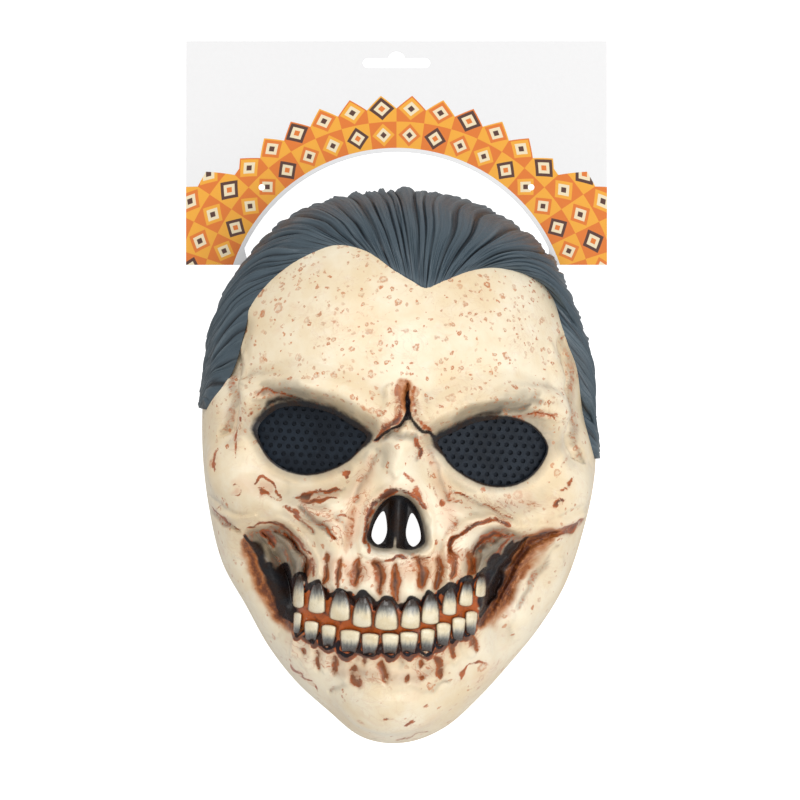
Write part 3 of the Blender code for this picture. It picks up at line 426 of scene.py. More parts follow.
# Rust of each pit under the lower teeth: half width, upper end and lower end, in mm
LOWER_ROOTS = [
    (1.7, (-40.8, -88.2), (-39.7, -91.4)),
    (2.2, (-34.3, -87.6), (-32.4, -96.1)),
    (2.5, (-24.3, -89.2), (-23.4, -97.7)),
    (3.2, (-14.3, -93.2), (-14.2, -102.8)),
    (1.5, (-10.8, -90.6), (-10.1, -93.8)),
    (3.3, (-3.3, -91), (-2.7, -101)),
    (1.8, (7.6, -95.1), (8.4, -99.8)),
    (1.8, (15.2, -88.9), (15.3, -91.8)),
    (1.8, (16, -95.1), (15.7, -97.5)),
    (2.6, (22, -86.6), (26.5, -97.9)),
    (2.4, (30.5, -81.5), (31.4, -88.1)),
    (2.2, (38.6, -76.8), (40.1, -84.8)),
]

# Marks of a root: kind, times its half width and more mm, height in mm or strength, and how many mm the mark
# goes beyond the upper and the lower end
# The upper roots' black mark is black paint and painted shade in their grooves.
UPPER_MARKS = [("rise", 1, 0.46, -2.2, 0.46, 0.46), ("stain", 1.4, 0, 0.40, 1.39, 1.39),
               ("rust", 1, 0, 1, 0, 0), ("dark_paint_and_shade", 0.5, 0, 0.60, -1.39, -0.46)]
LOWER_MARKS = [("rise", 1, 0.46, -1.6, 0, 0), ("stain", 1.33, 0, 0.34, 0.93, 0.93), ("rust", 1, 0, 1, 0, 0)]

# Closeness of the shell's lines: place from -1 to 1, relative closeness
COLUMN_DENSITY = [(-1, 0.30), (-0.62, 0.55), (-0.40, 1.0), (0.40, 1.0), (0.62, 0.55), (1, 0.30)]
ROW_DENSITY = [(-1, 0.30), (-0.62, 0.55), (-0.55, 1.0), (0.18, 1.0), (0.30, 0.50), (1, 0.30)]

PIXEL = 0.0005
PLAN_X, PLAN_Y = np.meshgrid(np.arange(-0.102, 0.1025, PIXEL), np.arange(-0.146, 0.1465, PIXEL))


def smooth_step(value):
    """Ease from 0 to 1."""
    value = np.clip(value, 0.0, 1.0)
    return value * value * (3 - 2 * value)


def smooth_table(rows, at, period=None):
    """Read a smooth curve through a table's rows, which may wrap round."""
    keys = np.array([row[0] for row in rows], float)
    values = np.array([row[1] for row in rows], float)
    if period:
        keys = np.concatenate([keys[-2:] - period, keys, keys[:2] + period])
        values = np.concatenate([values[-2:], values, values[:2]])
        at = np.mod(np.asarray(at, float) - keys[1], period) + keys[1]
    at = np.clip(np.asarray(at, float), keys[0], keys[-1])
    slopes = np.gradient(values, keys)
    index = np.clip(np.searchsorted(keys, at, side="right") - 1, 0, len(keys) - 2)
    span = keys[index + 1] - keys[index]
    t = (at - keys[index]) / span
    start = (2 * t**3 - 3 * t**2 + 1) * values[index] + (t**3 - 2 * t**2 + t) * span * slopes[index]
    end = (3 * t**2 - 2 * t**3) * values[index + 1] + (t**3 - t**2) * span * slopes[index + 1]
    return start + end


def spline(points, steps, closed=False):
    """Smooth line through points of the plan."""
    points = np.asarray(points, float)
    if closed:
        before, after, beyond = np.roll(points, 1, 0), np.roll(points, -1, 0), np.roll(points, -2, 0)
        starts = points
    else:
        padded = np.concatenate([[2 * points[0] - points[1]], points, [2 * points[-1] - points[-2]]])
        before, starts, after, beyond = padded[:-3], padded[1:-2], padded[2:-1], padded[3:]
    curve = []
    for back, start, end, ahead in zip(before, starts, after, beyond):
        for step in range(steps):
            t = step / steps
            curve.append(0.5 * (
                2 * start + (end - back) * t
                + (2 * back - 5 * start + 4 * end - ahead) * t**2
                + (3 * start - back - 3 * end + ahead) * t**3
            ))
    if not closed:
        curve.append(points[-1])
    return np.array(curve)


def closed_curve(shares, steps=3, side=1):
    """Smooth closed outline through points given as shares, in metres."""
    points = np.array([(side * x * HALF_WIDTH, y * HALF_HEIGHT) for x, y in shares])
    return spline(points[::-1] if side < 0 else points, steps, closed=True)


def path_place(x, y, path, closed=False):
    """Distance from each point to a path, and how far along the path its nearest place is, from 0 to 1."""
    path = np.asarray(path)
    ends = np.roll(path, -1, 0) if closed else path[1:]
    nearest = np.full(np.shape(x), np.inf)
    place = np.zeros(np.shape(x))
    for index, ((ax, ay), (bx, by)) in enumerate(zip(path, ends)):
        along_x, along_y = bx - ax, by - ay
        length = max(along_x**2 + along_y**2, 1e-12)
        t = np.clip(((x - ax) * along_x + (y - ay) * along_y) / length, 0, 1)
        away = np.hypot(x - ax - t * along_x, y - ay - t * along_y)
        place = np.where(away < nearest, (index + t) / len(ends), place)
        nearest = np.minimum(nearest, away)
    return nearest, place


def path_distance(x, y, path, closed=False):
    """Distance from each point to a path through the given points."""
    return path_place(x, y, path, closed)[0]


def outside_distance(x, y, outline):
    """Distance to a closed outline, negative inside it."""
    inside = np.zeros(np.shape(x), bool)
    for (ax, ay), (bx, by) in zip(outline, np.roll(outline, -1, 0)):
        if ay == by:
            continue
        crosses = (ay > y) != (by > y)
        inside ^= crosses & (x < (bx - ax) * (y - ay) / (by - ay) + ax)
    return np.where(inside, -1, 1) * path_distance(x, y, outline, closed=True)


def hair_cover(bearing):
    """How fully the hair covers the rim at a bearing, from 0 to 1."""
    rising = smooth_step((bearing - HAIRLINE[0][0]) / HAIR_FADE)
    falling = smooth_step((HAIRLINE[-1][0] - bearing) / HAIR_FADE)
    return rising * falling


def skull_reach(bearing):
    """Reach of the skull's own outline: the mask's outline less the hair that lies on it."""
    radius = np.hypot(HALF_WIDTH * np.cos(np.radians(bearing)), HALF_HEIGHT * np.sin(np.radians(bearing)))
    return smooth_table(OUTLINE, bearing, period=360) - HAIR_BUILD * hair_cover(np.mod(bearing, 360)) / radius


def dome_point(bearing, share):
    """Plain dome of the head, without relief; share is the way from the middle to the rim."""
    reach = skull_reach(bearing) * share
    x = HALF_WIDTH * np.cos(np.radians(bearing)) * reach
    y = HALF_HEIGHT * np.sin(np.radians(bearing)) * reach
    fullness = (1 - np.clip(share, 0, 1) ** DOME_FLATNESS) ** DOME_SHOULDER
    z = MASK_DEPTH * smooth_table(PROFILE, y / HALF_HEIGHT) * fullness
    return np.stack([x, y, z], axis=-1)


def dome_height(x, y):
    """Height of the plain dome over a point of the plan."""
    bearing = np.degrees(np.arctan2(y / HALF_HEIGHT, x / HALF_WIDTH))
    share = np.hypot(x / HALF_WIDTH, y / HALF_HEIGHT) / skull_reach(bearing)
    return dome_point(bearing, share)[..., 2]


def dome_normal(bearing, share):
    """Outward direction of the plain dome."""
    turn, step = 0.5, 0.004
    low, high = np.clip(share - step, 0.001, 0.999), np.clip(share + step, 0.002, 0.9995)
    across = dome_point(bearing + turn, share) - dome_point(bearing - turn, share)
    down = dome_point(bearing, high) - dome_point(bearing, low)
    normal = np.cross(down, across)
    return normal / np.linalg.norm(normal, axis=-1, keepdims=True)


def ring_share(step):
    """Share of the way to the rim at an even step down the dome."""
    return np.sin(0.5 * math.pi * np.clip(step, 0, 1)) ** RING_SPREAD


def ring_step(share):
    """Step whose ring lies at a share of the way to the rim."""
    return np.arcsin(share ** (1 / RING_SPREAD)) / (0.5 * math.pi)


def socket_floor(x, y, side):
    """Tilted plane that an eye's opening and mesh lie in."""
    middle_x, middle_y = side * EYE_MIDDLE[0] * HALF_WIDTH, EYE_MIDDLE[1] * HALF_HEIGHT
    level = dome_height(np.array(middle_x), np.array(middle_y)) - SOCKET_DEPTH
    return level - SOCKET_SLOPE_X * (side * x - abs(middle_x)) + SOCKET_SLOPE_Y * (y - middle_y)


def softened(field, reach):
    """Plan field blurred over a distance."""
    rows, columns = field.shape
    padded = np.pad(field, BLUR_MARGIN, mode="edge")
    waves_y = np.fft.fftfreq(padded.shape[0], PIXEL)[:, None]
    waves_x = np.fft.rfftfreq(padded.shape[1], PIXEL)[None, :]
    filter_shape = np.exp(-2 * (math.pi * reach) ** 2 * (waves_x**2 + waves_y**2))
    blurred = np.fft.irfft2(np.fft.rfft2(padded) * filter_shape, padded.shape)
    return blurred[BLUR_MARGIN:BLUR_MARGIN + rows, BLUR_MARGIN:BLUR_MARGIN + columns]


def window(points, margin):
    """Part of the plan around some points."""
    points = np.asarray(points)
    low = points.min(axis=0) - margin
    high = points.max(axis=0) + margin
    c0, r0 = np.floor((low - (PLAN_X[0, 0], PLAN_Y[0, 0])) / PIXEL).astype(int)
    c1, r1 = np.ceil((high - (PLAN_X[0, 0], PLAN_Y[0, 0])) / PIXEL).astype(int) + 1
    return slice(max(r0, 0), max(r1, 0)), slice(max(c0, 0), max(c1, 0))


def wobble(seed):
    """Small smooth shift over the plan, so that no stroke is quite straight or even."""
    generator = np.random.default_rng(seed)
    shift = np.zeros(PLAN_X.shape)
    for reach, amount in ((0.0045, 0.0009), (0.0014, 0.00045)):
        field = softened(generator.standard_normal(PLAN_X.shape), reach)
        shift += amount * field / field.std()
    return shift


WOBBLE_X, WOBBLE_Y = wobble(1), wobble(2)


def stroke(points, half_width, thins=True):
    """Window of the plan and the soft weight of a stroke along a smooth path in it, thin at its ends."""
    path = spline(points, 5)
    part = window(path, half_width + 0.004)
    away, place = path_place(PLAN_X[part] + WOBBLE_X[part], PLAN_Y[part] + WOBBLE_Y[part], path)
    if thins and np.hypot(*(path[0] - path[-1])) > MM:
        half_width = half_width * (0.25 + 0.75 * np.sqrt(np.clip(4 * place * (1 - place), 0, 1)))
    away = away / half_width
    return part, np.clip(1 - away * away, 0, 1) ** 2


def lowest(field, reach):
    """Lowest value of a plan field within a distance."""
    steps = int(round(reach / PIXEL))
    found = field.copy()
    for down in (-steps, -steps // 2, 0, steps // 2, steps):
        for across in (-steps, -steps // 2, 0, steps // 2, steps):
            found = np.minimum(found, np.roll(field, (down, across), (0, 1)))
    return found


def read_plan(field, x, y):
    """Value of a plan field at points of the plan."""
    column = np.clip((x - PLAN_X[0, 0]) / PIXEL, 0, field.shape[1] - 1.001)
    row = np.clip((y - PLAN_Y[0, 0]) / PIXEL, 0, field.shape[0] - 1.001)
    c, r = column.astype(int), row.astype(int)
    fc, fr = column - c, row - r
    top = field[r, c] * (1 - fc) + field[r, c + 1] * fc
    low = field[r + 1, c] * (1 - fc) + field[r + 1, c + 1] * fc
    return top * (1 - fr) + low * fr


def main_relief():
    """Rise of the bone's masses and ridges over the dome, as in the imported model."""
    x, y = PLAN_X, PLAN_Y
    rise = np.zeros(x.shape)
    for mx, my, reach_x, reach_y, turn, share, place in MOUNDS:
        for side in SIDES[place]:
            dx, dy = x / HALF_WIDTH - side * mx, (y / HALF_HEIGHT - my) * HALF_HEIGHT / HALF_WIDTH
            c, s = math.cos(math.radians(side * turn)), math.sin(math.radians(side * turn))
            u = (c * dx + s * dy) / reach_x
            v = (c * dy - s * dx) / (reach_y * HALF_HEIGHT / HALF_WIDTH)
            rise += MASK_DEPTH * share * np.clip(1 - u * u - v * v, 0, 1) ** 2
    for half_width, share, place, path in RIDGES:
        for side in SIDES[place]:
            points = [(side * px * HALF_WIDTH, py * HALF_HEIGHT) for px, py in path]
            away = path_distance(x, y, points) / (half_width * HALF_WIDTH)
            rise += MASK_DEPTH * share * np.clip(1 - away * away, 0, 1) ** 2
    return rise


def tooth_rows():
    """Both rows of teeth in metres: middle, half width, half height, and which way the root points."""
    for rows, root in ((UPPER_TEETH, 1), (LOWER_TEETH, -1)):
        for x, y, width, height in rows:
            yield x * HALF_WIDTH, y * HALF_HEIGHT, 0.5 * width * HALF_WIDTH, 0.5 * height * HALF_HEIGHT, root


def bite_line():
    """Line between the two rows of teeth."""
    upper = [(x, y - tall) for x, y, _, tall, root in tooth_rows() if root > 0]
    lower = [(x, y + tall) for x, y, _, tall, root in tooth_rows() if root < 0]
    across = np.linspace(upper[0][0], upper[-1][0], 14)
    top, low = (np.interp(across, *np.transpose(row)) for row in (upper, lower))
    return np.stack([across, 0.5 * (top + low)], axis=-1)


def root_marks():
    """Rows of the grooves and the paints of every root, by kind."""
    marks = {"rise": [], "stain": [], "rust": [], "dark_paint_and_shade": []}
    for roots, kinds in ((UPPER_ROOTS, UPPER_MARKS), (LOWER_ROOTS, LOWER_MARKS)):
        for half_width, start, end in roots:
            for kind, times, wider, strength, above, below in kinds:
                path = [np.subtract(start, above * ROOT_DOWN), np.add(end, below * ROOT_DOWN)]
                marks[kind].append((times * half_width + wider, strength, path))
    return marks


def lay(layer, weight, part=...):
    """Lay a weight over a layer of the plan, or over a window of it, where it is the stronger."""
    layer[part] = np.maximum(layer[part], weight)


def brush(rise, layer, path, half_width, strength, gain, press=0.0):
    """Brush a paint evenly along a path, and raise or press the bone there."""
    part, weight = stroke(path, half_width, thins=False)
    rise[part] += press * weight
    lay(layer, strength * smooth_step(weight * gain), part)


def sink_hollows(rise, paint):
    """Press the hollows into the cheeks and jaw, and shade them."""
    for outline in HOLLOWS:
        edge = spline(np.array(outline) * MM, 4, closed=True)
        part = window(edge, 0.004)
        away = outside_distance(PLAN_X[part], PLAN_Y[part], edge)
        rise[part] -= 0.0052 * smooth_step(0.35 - away / 0.0045)
        # Black paint and painted shade inside each hollow, olive painted shade round it.
        lay(paint["dark_paint_and_shade"], 0.30 * smooth_step(-away / 0.005), part)
        lay(paint["painted_shade"], 0.9 * smooth_step(0.3 - away / 0.004), part)


def seat_tooth(rise, paint, x, y, half, tall, root):
    """Raise the bone over a tooth's root, and press and paint the gum round its crown."""
    def spot(across, up, more=0.0):
        """Point by half widths across, half heights towards the root and metres beyond."""
        return x + across * half, y + root * (up * tall + more)

    for reach, share in ((0.0115, 1.0), (0.006, 0.6)):
        part, weight = stroke([spot(0, 1), spot(0, 1, reach)], half * 1.3)
        rise[part] += 0.0010 * share * weight
    scallop = [spot(-1.25, 0.40), spot(-0.80, 1, -0.0006), spot(0, 1, 0.0010), spot(0.80, 1, -0.0006),
               spot(1.25, 0.40)]
    # Black paint and painted shade in the pressed scallop round each crown and over the upper roots.
    if root > 0:
        brush(rise, paint["dark_paint_and_shade"], scallop, 0.0013, 0.95, 1.8, press=-0.0010)
        brush(rise, paint["dark_paint_and_shade"], [spot(0, 0.80), spot(0, 1, -0.0004)], half * 1.05, 0.95, 2.2)
    else:
        edge = [(px, py - 0.0009) for px, py in scallop]
        brush(rise, paint["rust"], edge, 0.0024, 1.0, 2.0, press=0.0008)
        brush(rise, paint["dark_paint_and_shade"], scallop, 0.0012, 0.9, 1.6)
    brush(rise, paint["gum"], [spot(0, -0.5), spot(0, 0.10)], half * 1.7, 1.0, 3.0, press=-0.0010)
    reach = 0.60 if root > 0 else 0.25
    for side in (-1, 1):
        between = [spot(side * 1.25, -0.5), spot(side * 1.25, 0.6)]
        brush(rise, paint["gum"], between, half * 0.6, 1.0, 3.0)
        # Black paint and painted shade in the gaps between the teeth.
        gap = [spot(side * 1.15, reach), spot(side * 1.15, 0.85)]
        brush(rise, paint["dark_paint_and_shade"], gap, half * 0.45, 0.8, 1.4)


def sink_eyes(height, paint):
    """Lower the skin to each eye's socket and to the lip of its opening, and paint the rim: black with
    painted shade, wider on the upper side under the brow, and olive painted shade above it.
    """
    upper = smooth_step((PLAN_Y - EYE_MIDDLE[1] * HALF_HEIGHT) / 0.010 + 0.5)
    for side in (1, -1):
        away = outside_distance(PLAN_X, PLAN_Y, closed_curve(EYE_OUTLINE, side=side))
        fall = SOCKET_FALL * (1 - 0.42 * upper)
        lap = MESH_LAP * (1 - 0.65 * upper)
        weight = smooth_step(1 - (away - lap) / fall)
        height += (socket_floor(PLAN_X, PLAN_Y, side) - height) * weight
        beyond = np.clip(away, 0, None)
        height -= 0.0009 * np.clip(1 - beyond / 0.0022, 0, 1) ** 2
        inner = smooth_step((0.060 - PLAN_X) / 0.030) if side > 0 else 1.0
        # Painted shade: black round the opening, wider on the upper side under the brow, and olive shade
        # fading out above it.
        near = np.clip(1 - beyond / (0.0016 + 0.0042 * upper * inner), 0, 1)
        lay(paint["dark_paint_and_shade"], near ** 0.75)
        lay(paint["painted_shade"], 0.85 * np.clip(1 - beyond / (0.005 + 0.0055 * upper), 0, 1))


def sink_nose(height, paint):
    """Lower the skin into the nose, but for its septum, and shade it."""
    away = outside_distance(PLAN_X, PLAN_Y, closed_curve(NOSE_OUTLINE))
    septum = SEPTUM_RISE * np.clip(1 - (PLAN_X / SEPTUM_WIDTH) ** 2, 0, 1)
    height += (septum - NOSE_DEPTH) * smooth_step(-away / NOSE_FALL)
    ridge = np.clip(1 - (np.abs(PLAN_X + 0.0004) / 0.0011), 0, 1) * smooth_step((-0.030 - PLAN_Y) / 0.004)
    # Painted shade: black inside the nose but along the septum's ridge, and olive shade round its rim.
    lay(paint["dark_paint_and_shade"], smooth_step((-away - 0.0004) / 0.0022) * (1 - 0.8 * ridge))
    lay(paint["painted_shade"], 0.7 * smooth_step(1 - away / 0.0022))


def build_plan():
    """Height of the bone over the plan, and the weight of each paint on it, painted shade among them."""
    rise = main_relief()
    paint = {name: np.zeros(rise.shape) for name in ("rust", "dark_paint_and_shade", "painted_shade", "pink", "stain", "gum")}
    marks = root_marks()
    sink_hollows(rise, paint)
    for rows, cleared in ((RIBS, 0.9), (FINE_RIDGES + marks["rise"], 0.0)):
        for half_width, height, points in rows:
            part, weight = stroke(np.array(points) * MM, half_width * MM)
            rise[part] += height * MM * weight
            paint["dark_paint_and_shade"][part] *= 1 - cleared * smooth_step(weight * 1.5)
    for tooth in tooth_rows():
        seat_tooth(rise, paint, *tooth)
    line = bite_line()
    brush(rise, paint["gum"], line, 0.0036, 1.0, 3.0, press=-0.0008)
    part, weight = stroke(line, 0.0030, thins=False)
    paint["dark_paint_and_shade"][part] *= 1 - smooth_step(weight * 2)

    dome = dome_height(PLAN_X, PLAN_Y)
    height = dome + rise
    sink_eyes(height, paint)
    sink_nose(height, paint)
    for name, rows in STROKES.items():
        for half_width, strength, points in rows + marks.get(name, []):
            part, weight = stroke(np.array(points) * MM, half_width * MM)
            lay(paint[name], strength * weight ** 0.8, part)

    # Recesses of the relief: olive painted shade, and a rust wash that the paint leaves in them.
    recess_shade_and_wash = smooth_step((softened(rise, 0.0022) - rise - 0.00010) / 0.0009)
    lay(paint["painted_shade"], 0.45 * recess_shade_and_wash)
    lay(paint["rust"], 0.34 * recess_shade_and_wash)
    glow = softened(np.maximum(paint["rust"], 0.8 * paint["gum"]), 0.0020)
    lay(paint["pink"], 0.62 * smooth_step(glow * 1.4))
    # Olive painted shade fading out round the black, lighter where the ochre stain lies.
    lay(paint["painted_shade"], 0.78 * smooth_step(softened(paint["dark_paint_and_shade"], 0.0024) * 1.2))
    paint["painted_shade"] *= 1 - 0.75 * np.clip(paint["stain"], 0, 1)
    return height - dome, paint


def face_point(lift, bearing, share):
    """Point of the bone's skin: the dome moved by the plan's lift."""
    point = dome_point(bearing, share)
    normal = dome_normal(bearing, share)
    sideways = smooth_step((share - 0.70) / 0.25)[..., None]
    direction = np.array([0.0, 0.0, 1.0]) * (1 - sideways) + normal * sideways
    direction = direction / np.linalg.norm(direction, axis=-1, keepdims=True)
    settle = smooth_step((1 - share) / 0.10)[..., None]
    rise = read_plan(lift, point[..., 0], point[..., 1])[..., None]
    return point + direction * rise * settle


def to_sheet(points):
    """Turn and move points from the mask's own frame to their place on the card."""
    c, s = math.cos(MASK_LEAN), math.sin(MASK_LEAN)
    points = np.asarray(points, float)
    x = MASK_CENTRE[0] + points[..., 0] * c - points[..., 1] * s
    y = MASK_CENTRE[1] + points[..., 0] * s + points[..., 1] * c
    return np.stack([x, y, points[..., 2]], axis=-1)


def card_foot():
    """Height of the card's lower edge up the sheet."""
    return MASK_CENTRE[1] + CARD_FOOT * HALF_HEIGHT


def keep_clear(points):
    """Lift a rim's points off the floor, and over the card where it lies."""
    over = points[..., 1] > card_foot() - TIP_REACH
    points[..., 2] = np.maximum(points[..., 2], np.where(over, CARD_CLEAR, 0.0))
    return points


def spaced(count, density):
    """Places from -1 to 1, closer together where the table asks for it."""
    at = np.linspace(-1, 1, 4001)
    close = np.interp(at, [row[0] for row in density], [row[1] for row in density])
    run = np.concatenate([[0], np.cumsum(0.5 * (close[1:] + close[:-1]))])
    return np.interp(np.linspace(0, run[-1], count), run, at)


def rim_order(rows, columns):
    """Places round the border of a grid, in order."""
    top, right = [(0, c) for c in range(columns - 1)], [(r, columns - 1) for r in range(rows - 1)]
    bottom = [(rows - 1, c) for c in range(columns - 1, 0, -1)]
    left = [(r, 0) for r in range(rows - 1, 0, -1)]
    return top + right + bottom + left


def grid_faces(index, flipped=False):
    """Faces between the points of a grid, given by their numbers."""
    corners = [index[:-1, :-1], index[:-1, 1:], index[1:, 1:], index[1:, :-1]]
    if flipped:
        corners = corners[:1] + corners[:0:-1]
    return np.stack(corners, -1).reshape(-1, 4).tolist()


def solid_mesh(name, points, faces):
    """Closed mesh with its faces turned outwards."""
    mesh = bpy.data.meshes.new(name)
    mesh.from_pydata(points.tolist(), [], faces)
    work = bmesh.new()
    work.from_mesh(mesh)
    bmesh.ops.recalc_face_normals(work, faces=work.faces)
    work.to_mesh(mesh)
    work.free()
    return mesh


def shell_mesh(name, outer, inner, factor):
    """Closed shell between a fine outer grid and an inner grid that is coarser by a whole factor."""
    index = np.arange(outer.shape[0] * outer.shape[1]).reshape(outer.shape[:2])
    under = np.arange(inner.shape[0] * inner.shape[1]).reshape(inner.shape[:2]) + index.size
    faces = grid_faces(index)
    outer_count = len(faces)
    faces += grid_faces(under, flipped=True)
    fine = [int(index[place]) for place in rim_order(*index.shape)]
    coarse = [int(under[place]) for place in rim_order(*under.shape)]
    for place, corner in enumerate(coarse):
        following = coarse[(place + 1) % len(coarse)]
        run = [fine[(place * factor + step) % len(fine)] for step in range(factor + 1)]
        faces.append([corner, following] + run[::-1])
    mesh = solid_mesh(name, np.concatenate([outer.reshape(-1, 3), inner.reshape(-1, 3)]), faces)
    inside = np.ones(len(faces), np.int32)
    inside[:outer_count] = 0
    mesh.polygons.foreach_set("material_index", inside)
    return mesh


def outline_prism(outlines, low, high):
    """Upright bodies over closed outlines, in one mesh."""
    mesh = bpy.data.meshes.new("prism")
    work = bmesh.new()
    for outline in outlines:
        base = work.faces.new([work.verts.new((px, py, low)) for px, py in outline])
        raised = bmesh.ops.extrude_face_region(work, geom=[base])["geom"]
        lift = [item for item in raised if isinstance(item, bmesh.types.BMVert)]
        bmesh.ops.translate(work, verts=lift, vec=(0, 0, high - low))
    bmesh.ops.recalc_face_normals(work, faces=work.faces)
    work.to_mesh(mesh)
    work.free()
    return mesh


def new_object(name, mesh):
    """Object of a mesh, in the scene."""
    made = bpy.data.objects.new(name, mesh)
    bpy.context.scene.collection.objects.link(made)
    return made


def settled(piece):
    """Plain mesh of a piece with its modifiers worked in."""
    now = bpy.context.evaluated_depsgraph_get()
    mesh = bpy.data.meshes.new_from_object(piece.evaluated_get(now), preserve_all_data_layers=True,
                                           depsgraph=now)
    piece.modifiers.clear()
    old = piece.data
    piece.data = mesh
    bpy.data.meshes.remove(old)
    mesh.name = piece.name
    return mesh


def set_attribute(mesh, name, values):
    """Store one value for each point of a mesh."""
    layer = mesh.attributes.get(name) or mesh.attributes.new(name, "FLOAT", "POINT")
    layer.data.foreach_set("value", np.asarray(values, np.float32))


def mesh_points(mesh):
    """Points of a mesh as rows."""
    points = np.zeros(len(mesh.vertices) * 3)
    mesh.vertices.foreach_get("co", points)
    return points.reshape(-1, 3)


def place_mesh(mesh, points, over_rim=False):
    """Give a mesh points, moved from the mask's own frame to the sheet; a rim is kept clear of the card."""
    points = to_sheet(points)
    mesh.vertices.foreach_set("co", (keep_clear(points) if over_rim else points).reshape(-1))
    mesh.update()


def hand_over(piece, slot, *nodes):
    """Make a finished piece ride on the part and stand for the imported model's nodes."""
    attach(piece, "root")
    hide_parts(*nodes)


def noise_line(generator, waves, at, along, along_waves):
    """Smooth noise from -1 to 1 over places from 0 to 1 both ways."""
    knots = generator.uniform(-1, 1, (along_waves + 3, waves + 3))
    a, b = at * waves, along * along_waves
    ia, ib = np.floor(a).astype(int), np.floor(b).astype(int)
    fa, fb = smooth_step(a - ia), smooth_step(b - ib)
    low = knots[ib, ia] * (1 - fa) + knots[ib, ia + 1] * fa
    high = knots[ib + 1, ia] * (1 - fa) + knots[ib + 1, ia + 1] * fa
    return low * (1 - fb) + high * fb


# Node trees

class Value:
    """Output of a node, which can be reckoned with as a number."""

    def __init__(self, socket):
        self.socket = socket

    def __getitem__(self, key):
        """Another output of the same node."""
        return Value(self.socket.node.outputs[key])

    def maths(self, operation, *numbers, clamp=False):
        """Result of one sum in this output's tree."""
        inputs = dict(enumerate(numbers))
        build = Builder(self.socket.id_data)
        return build.add("ShaderNodeMath", inputs, operation=operation, use_clamp=clamp)

    def __add__(self, other):
        return self.maths("ADD", self, other)

    def __sub__(self, other):
        return self.maths("SUBTRACT", self, other)

    def __rsub__(self, other):
        return self.maths("SUBTRACT", other, self)

    def __mul__(self, other):
        return self.maths("MULTIPLY", self, other)

    def __truediv__(self, other):
        return self.maths("DIVIDE", self, other)

    def __mod__(self, other):
        return self.maths("MODULO", self, other)

    def __abs__(self):
        return self.maths("ABSOLUTE", self)

    def highest(self, other):
        """Larger of two values."""
        return self.maths("MAXIMUM", self, other)

    def spread(self, low, high, to_low=0.0, to_high=1.0):
        """Smoothly spread a range of values over another."""
        inputs = {0: self, 1: low, 2: high, 3: to_low, 4: to_high}
        build = Builder(self.socket.id_data)
        return build.add("ShaderNodeMapRange", inputs, interpolation_type="SMOOTHSTEP")


class Builder:
    """Adds nodes to a tree and gives back their outputs."""

    def __init__(self, tree, place=None):
        self.tree = tree
        self.place = place

    def fill(self, node, inputs):
        """Link or set a node's inputs by name or place; a colour is given without its alpha."""
        for key, value in inputs.items():
            socket = node.inputs[key]
            if isinstance(value, Value):
                self.tree.links.new(value.socket, socket)
            elif socket.type == "RGBA":
                socket.default_value = (*value, 1)
            else:
                socket.default_value = value

    def add(self, kind, inputs=None, output=0, **settings):
        """Add a node, set its fields and inputs, and give one of its outputs."""
        node = self.tree.nodes.new(kind)
        for field, value in settings.items():
            setattr(node, field, value)
        self.fill(node, inputs or {})
        return Value(node.outputs[output])

    def mixed(self, factor, first, second):
        """One colour laid over another."""
        return self.add("ShaderNodeMix", {0: factor, 6: first, 7: second}, 2, data_type="RGBA")

    def noise(self, scale, detail=4.0, roughness=0.55, distortion=0.0, place=None):
        """Value of a noise pattern."""
        inputs = {"Vector": place or self.place, "Scale": scale, "Detail": detail, "Roughness": roughness,
                  "Distortion": distortion}
        return self.add("ShaderNodeTexNoise", inputs, "Fac")

    def attribute(self, name):
        """Value stored on the mesh."""
        return self.add("ShaderNodeAttribute", output="Fac", attribute_name=name)

    def bump(self, height, distance, strength):
        """Normal from a height in metres."""
        return self.add("ShaderNodeBump", {"Height": height, "Distance": distance, "Strength": strength},
                        "Normal")

    def group(self, build, **inputs):
        """Place a shared node group, built at its first use."""
        if build not in GROUPS:
            GROUPS[build] = build()
        return self.add("ShaderNodeGroup", dict(Place=self.place, **inputs), node_tree=GROUPS[build])


class Finish(Builder):
    """Material under construction, with its shader; its patterns follow the object's own coordinates."""

    def __init__(self, name, **numbers):
        self.made = bpy.data.materials.new(name)
        self.made.use_nodes = True
        super().__init__(self.made.node_tree)
        self.place = self.add("ShaderNodeTexCoord", output="Object")
        self.shader = self.tree.nodes["Principled BSDF"]
        self.close(**numbers)

    def close(self, **inputs):
        """Link or set the shader's inputs, and give the material."""
        self.fill(self.shader, {key.replace("_", " "): value for key, value in inputs.items()})
        return self.made

    def cast(self, colour, grain, roughness, distance, strength, streaks=None):
        """Close the shader with a cast skin of a grain, a roughness and a relief."""
        skin = self.group(latex_skin_group, Grain=grain, Roughness=roughness)
        height = skin + streaks if streaks else skin
        return self.close(Base_Color=colour, Roughness=skin["Roughness"],
                          Normal=self.bump(height, distance, strength))


def new_group(name, inputs, outputs):
    """Shared group of a place and some numbers: its builder, and its place, which leads to the rest."""
    tree = bpy.data.node_groups.new(name, "ShaderNodeTree")
    tree.interface.new_socket("Place", in_out="INPUT", socket_type="NodeSocketVector")
    for label, default in inputs.items():
        socket = tree.interface.new_socket(label, in_out="INPUT", socket_type="NodeSocketFloat")
        socket.default_value = default
    for label in outputs:
        tree.interface.new_socket(label, in_out="OUTPUT", socket_type="NodeSocketFloat")
    given = Value(tree.nodes.new("NodeGroupInput").outputs["Place"])
    return Builder(tree, given), given


def close_group(build, **outputs):
    """Link a group's results to its outputs, and give the group."""
    build.fill(build.tree.nodes.new("NodeGroupOutput"), outputs)
    return build.tree


def ragged_paint_group():
    """Paint edge that breaks up like dry brushed paint."""
    build, given = new_group("Ragged paint", {"Weight": 0.0, "Grain": 420.0, "Raggedness": 0.5}, ["Mask"])
    broad = build.noise(given["Grain"], 5.0, 0.65)
    worn = given["Weight"] + (broad - 0.5) * given["Raggedness"] * 2.0
    return close_group(build, Mask=worn.spread(0.30, 0.75) * given["Weight"].spread(0.02, 0.14))


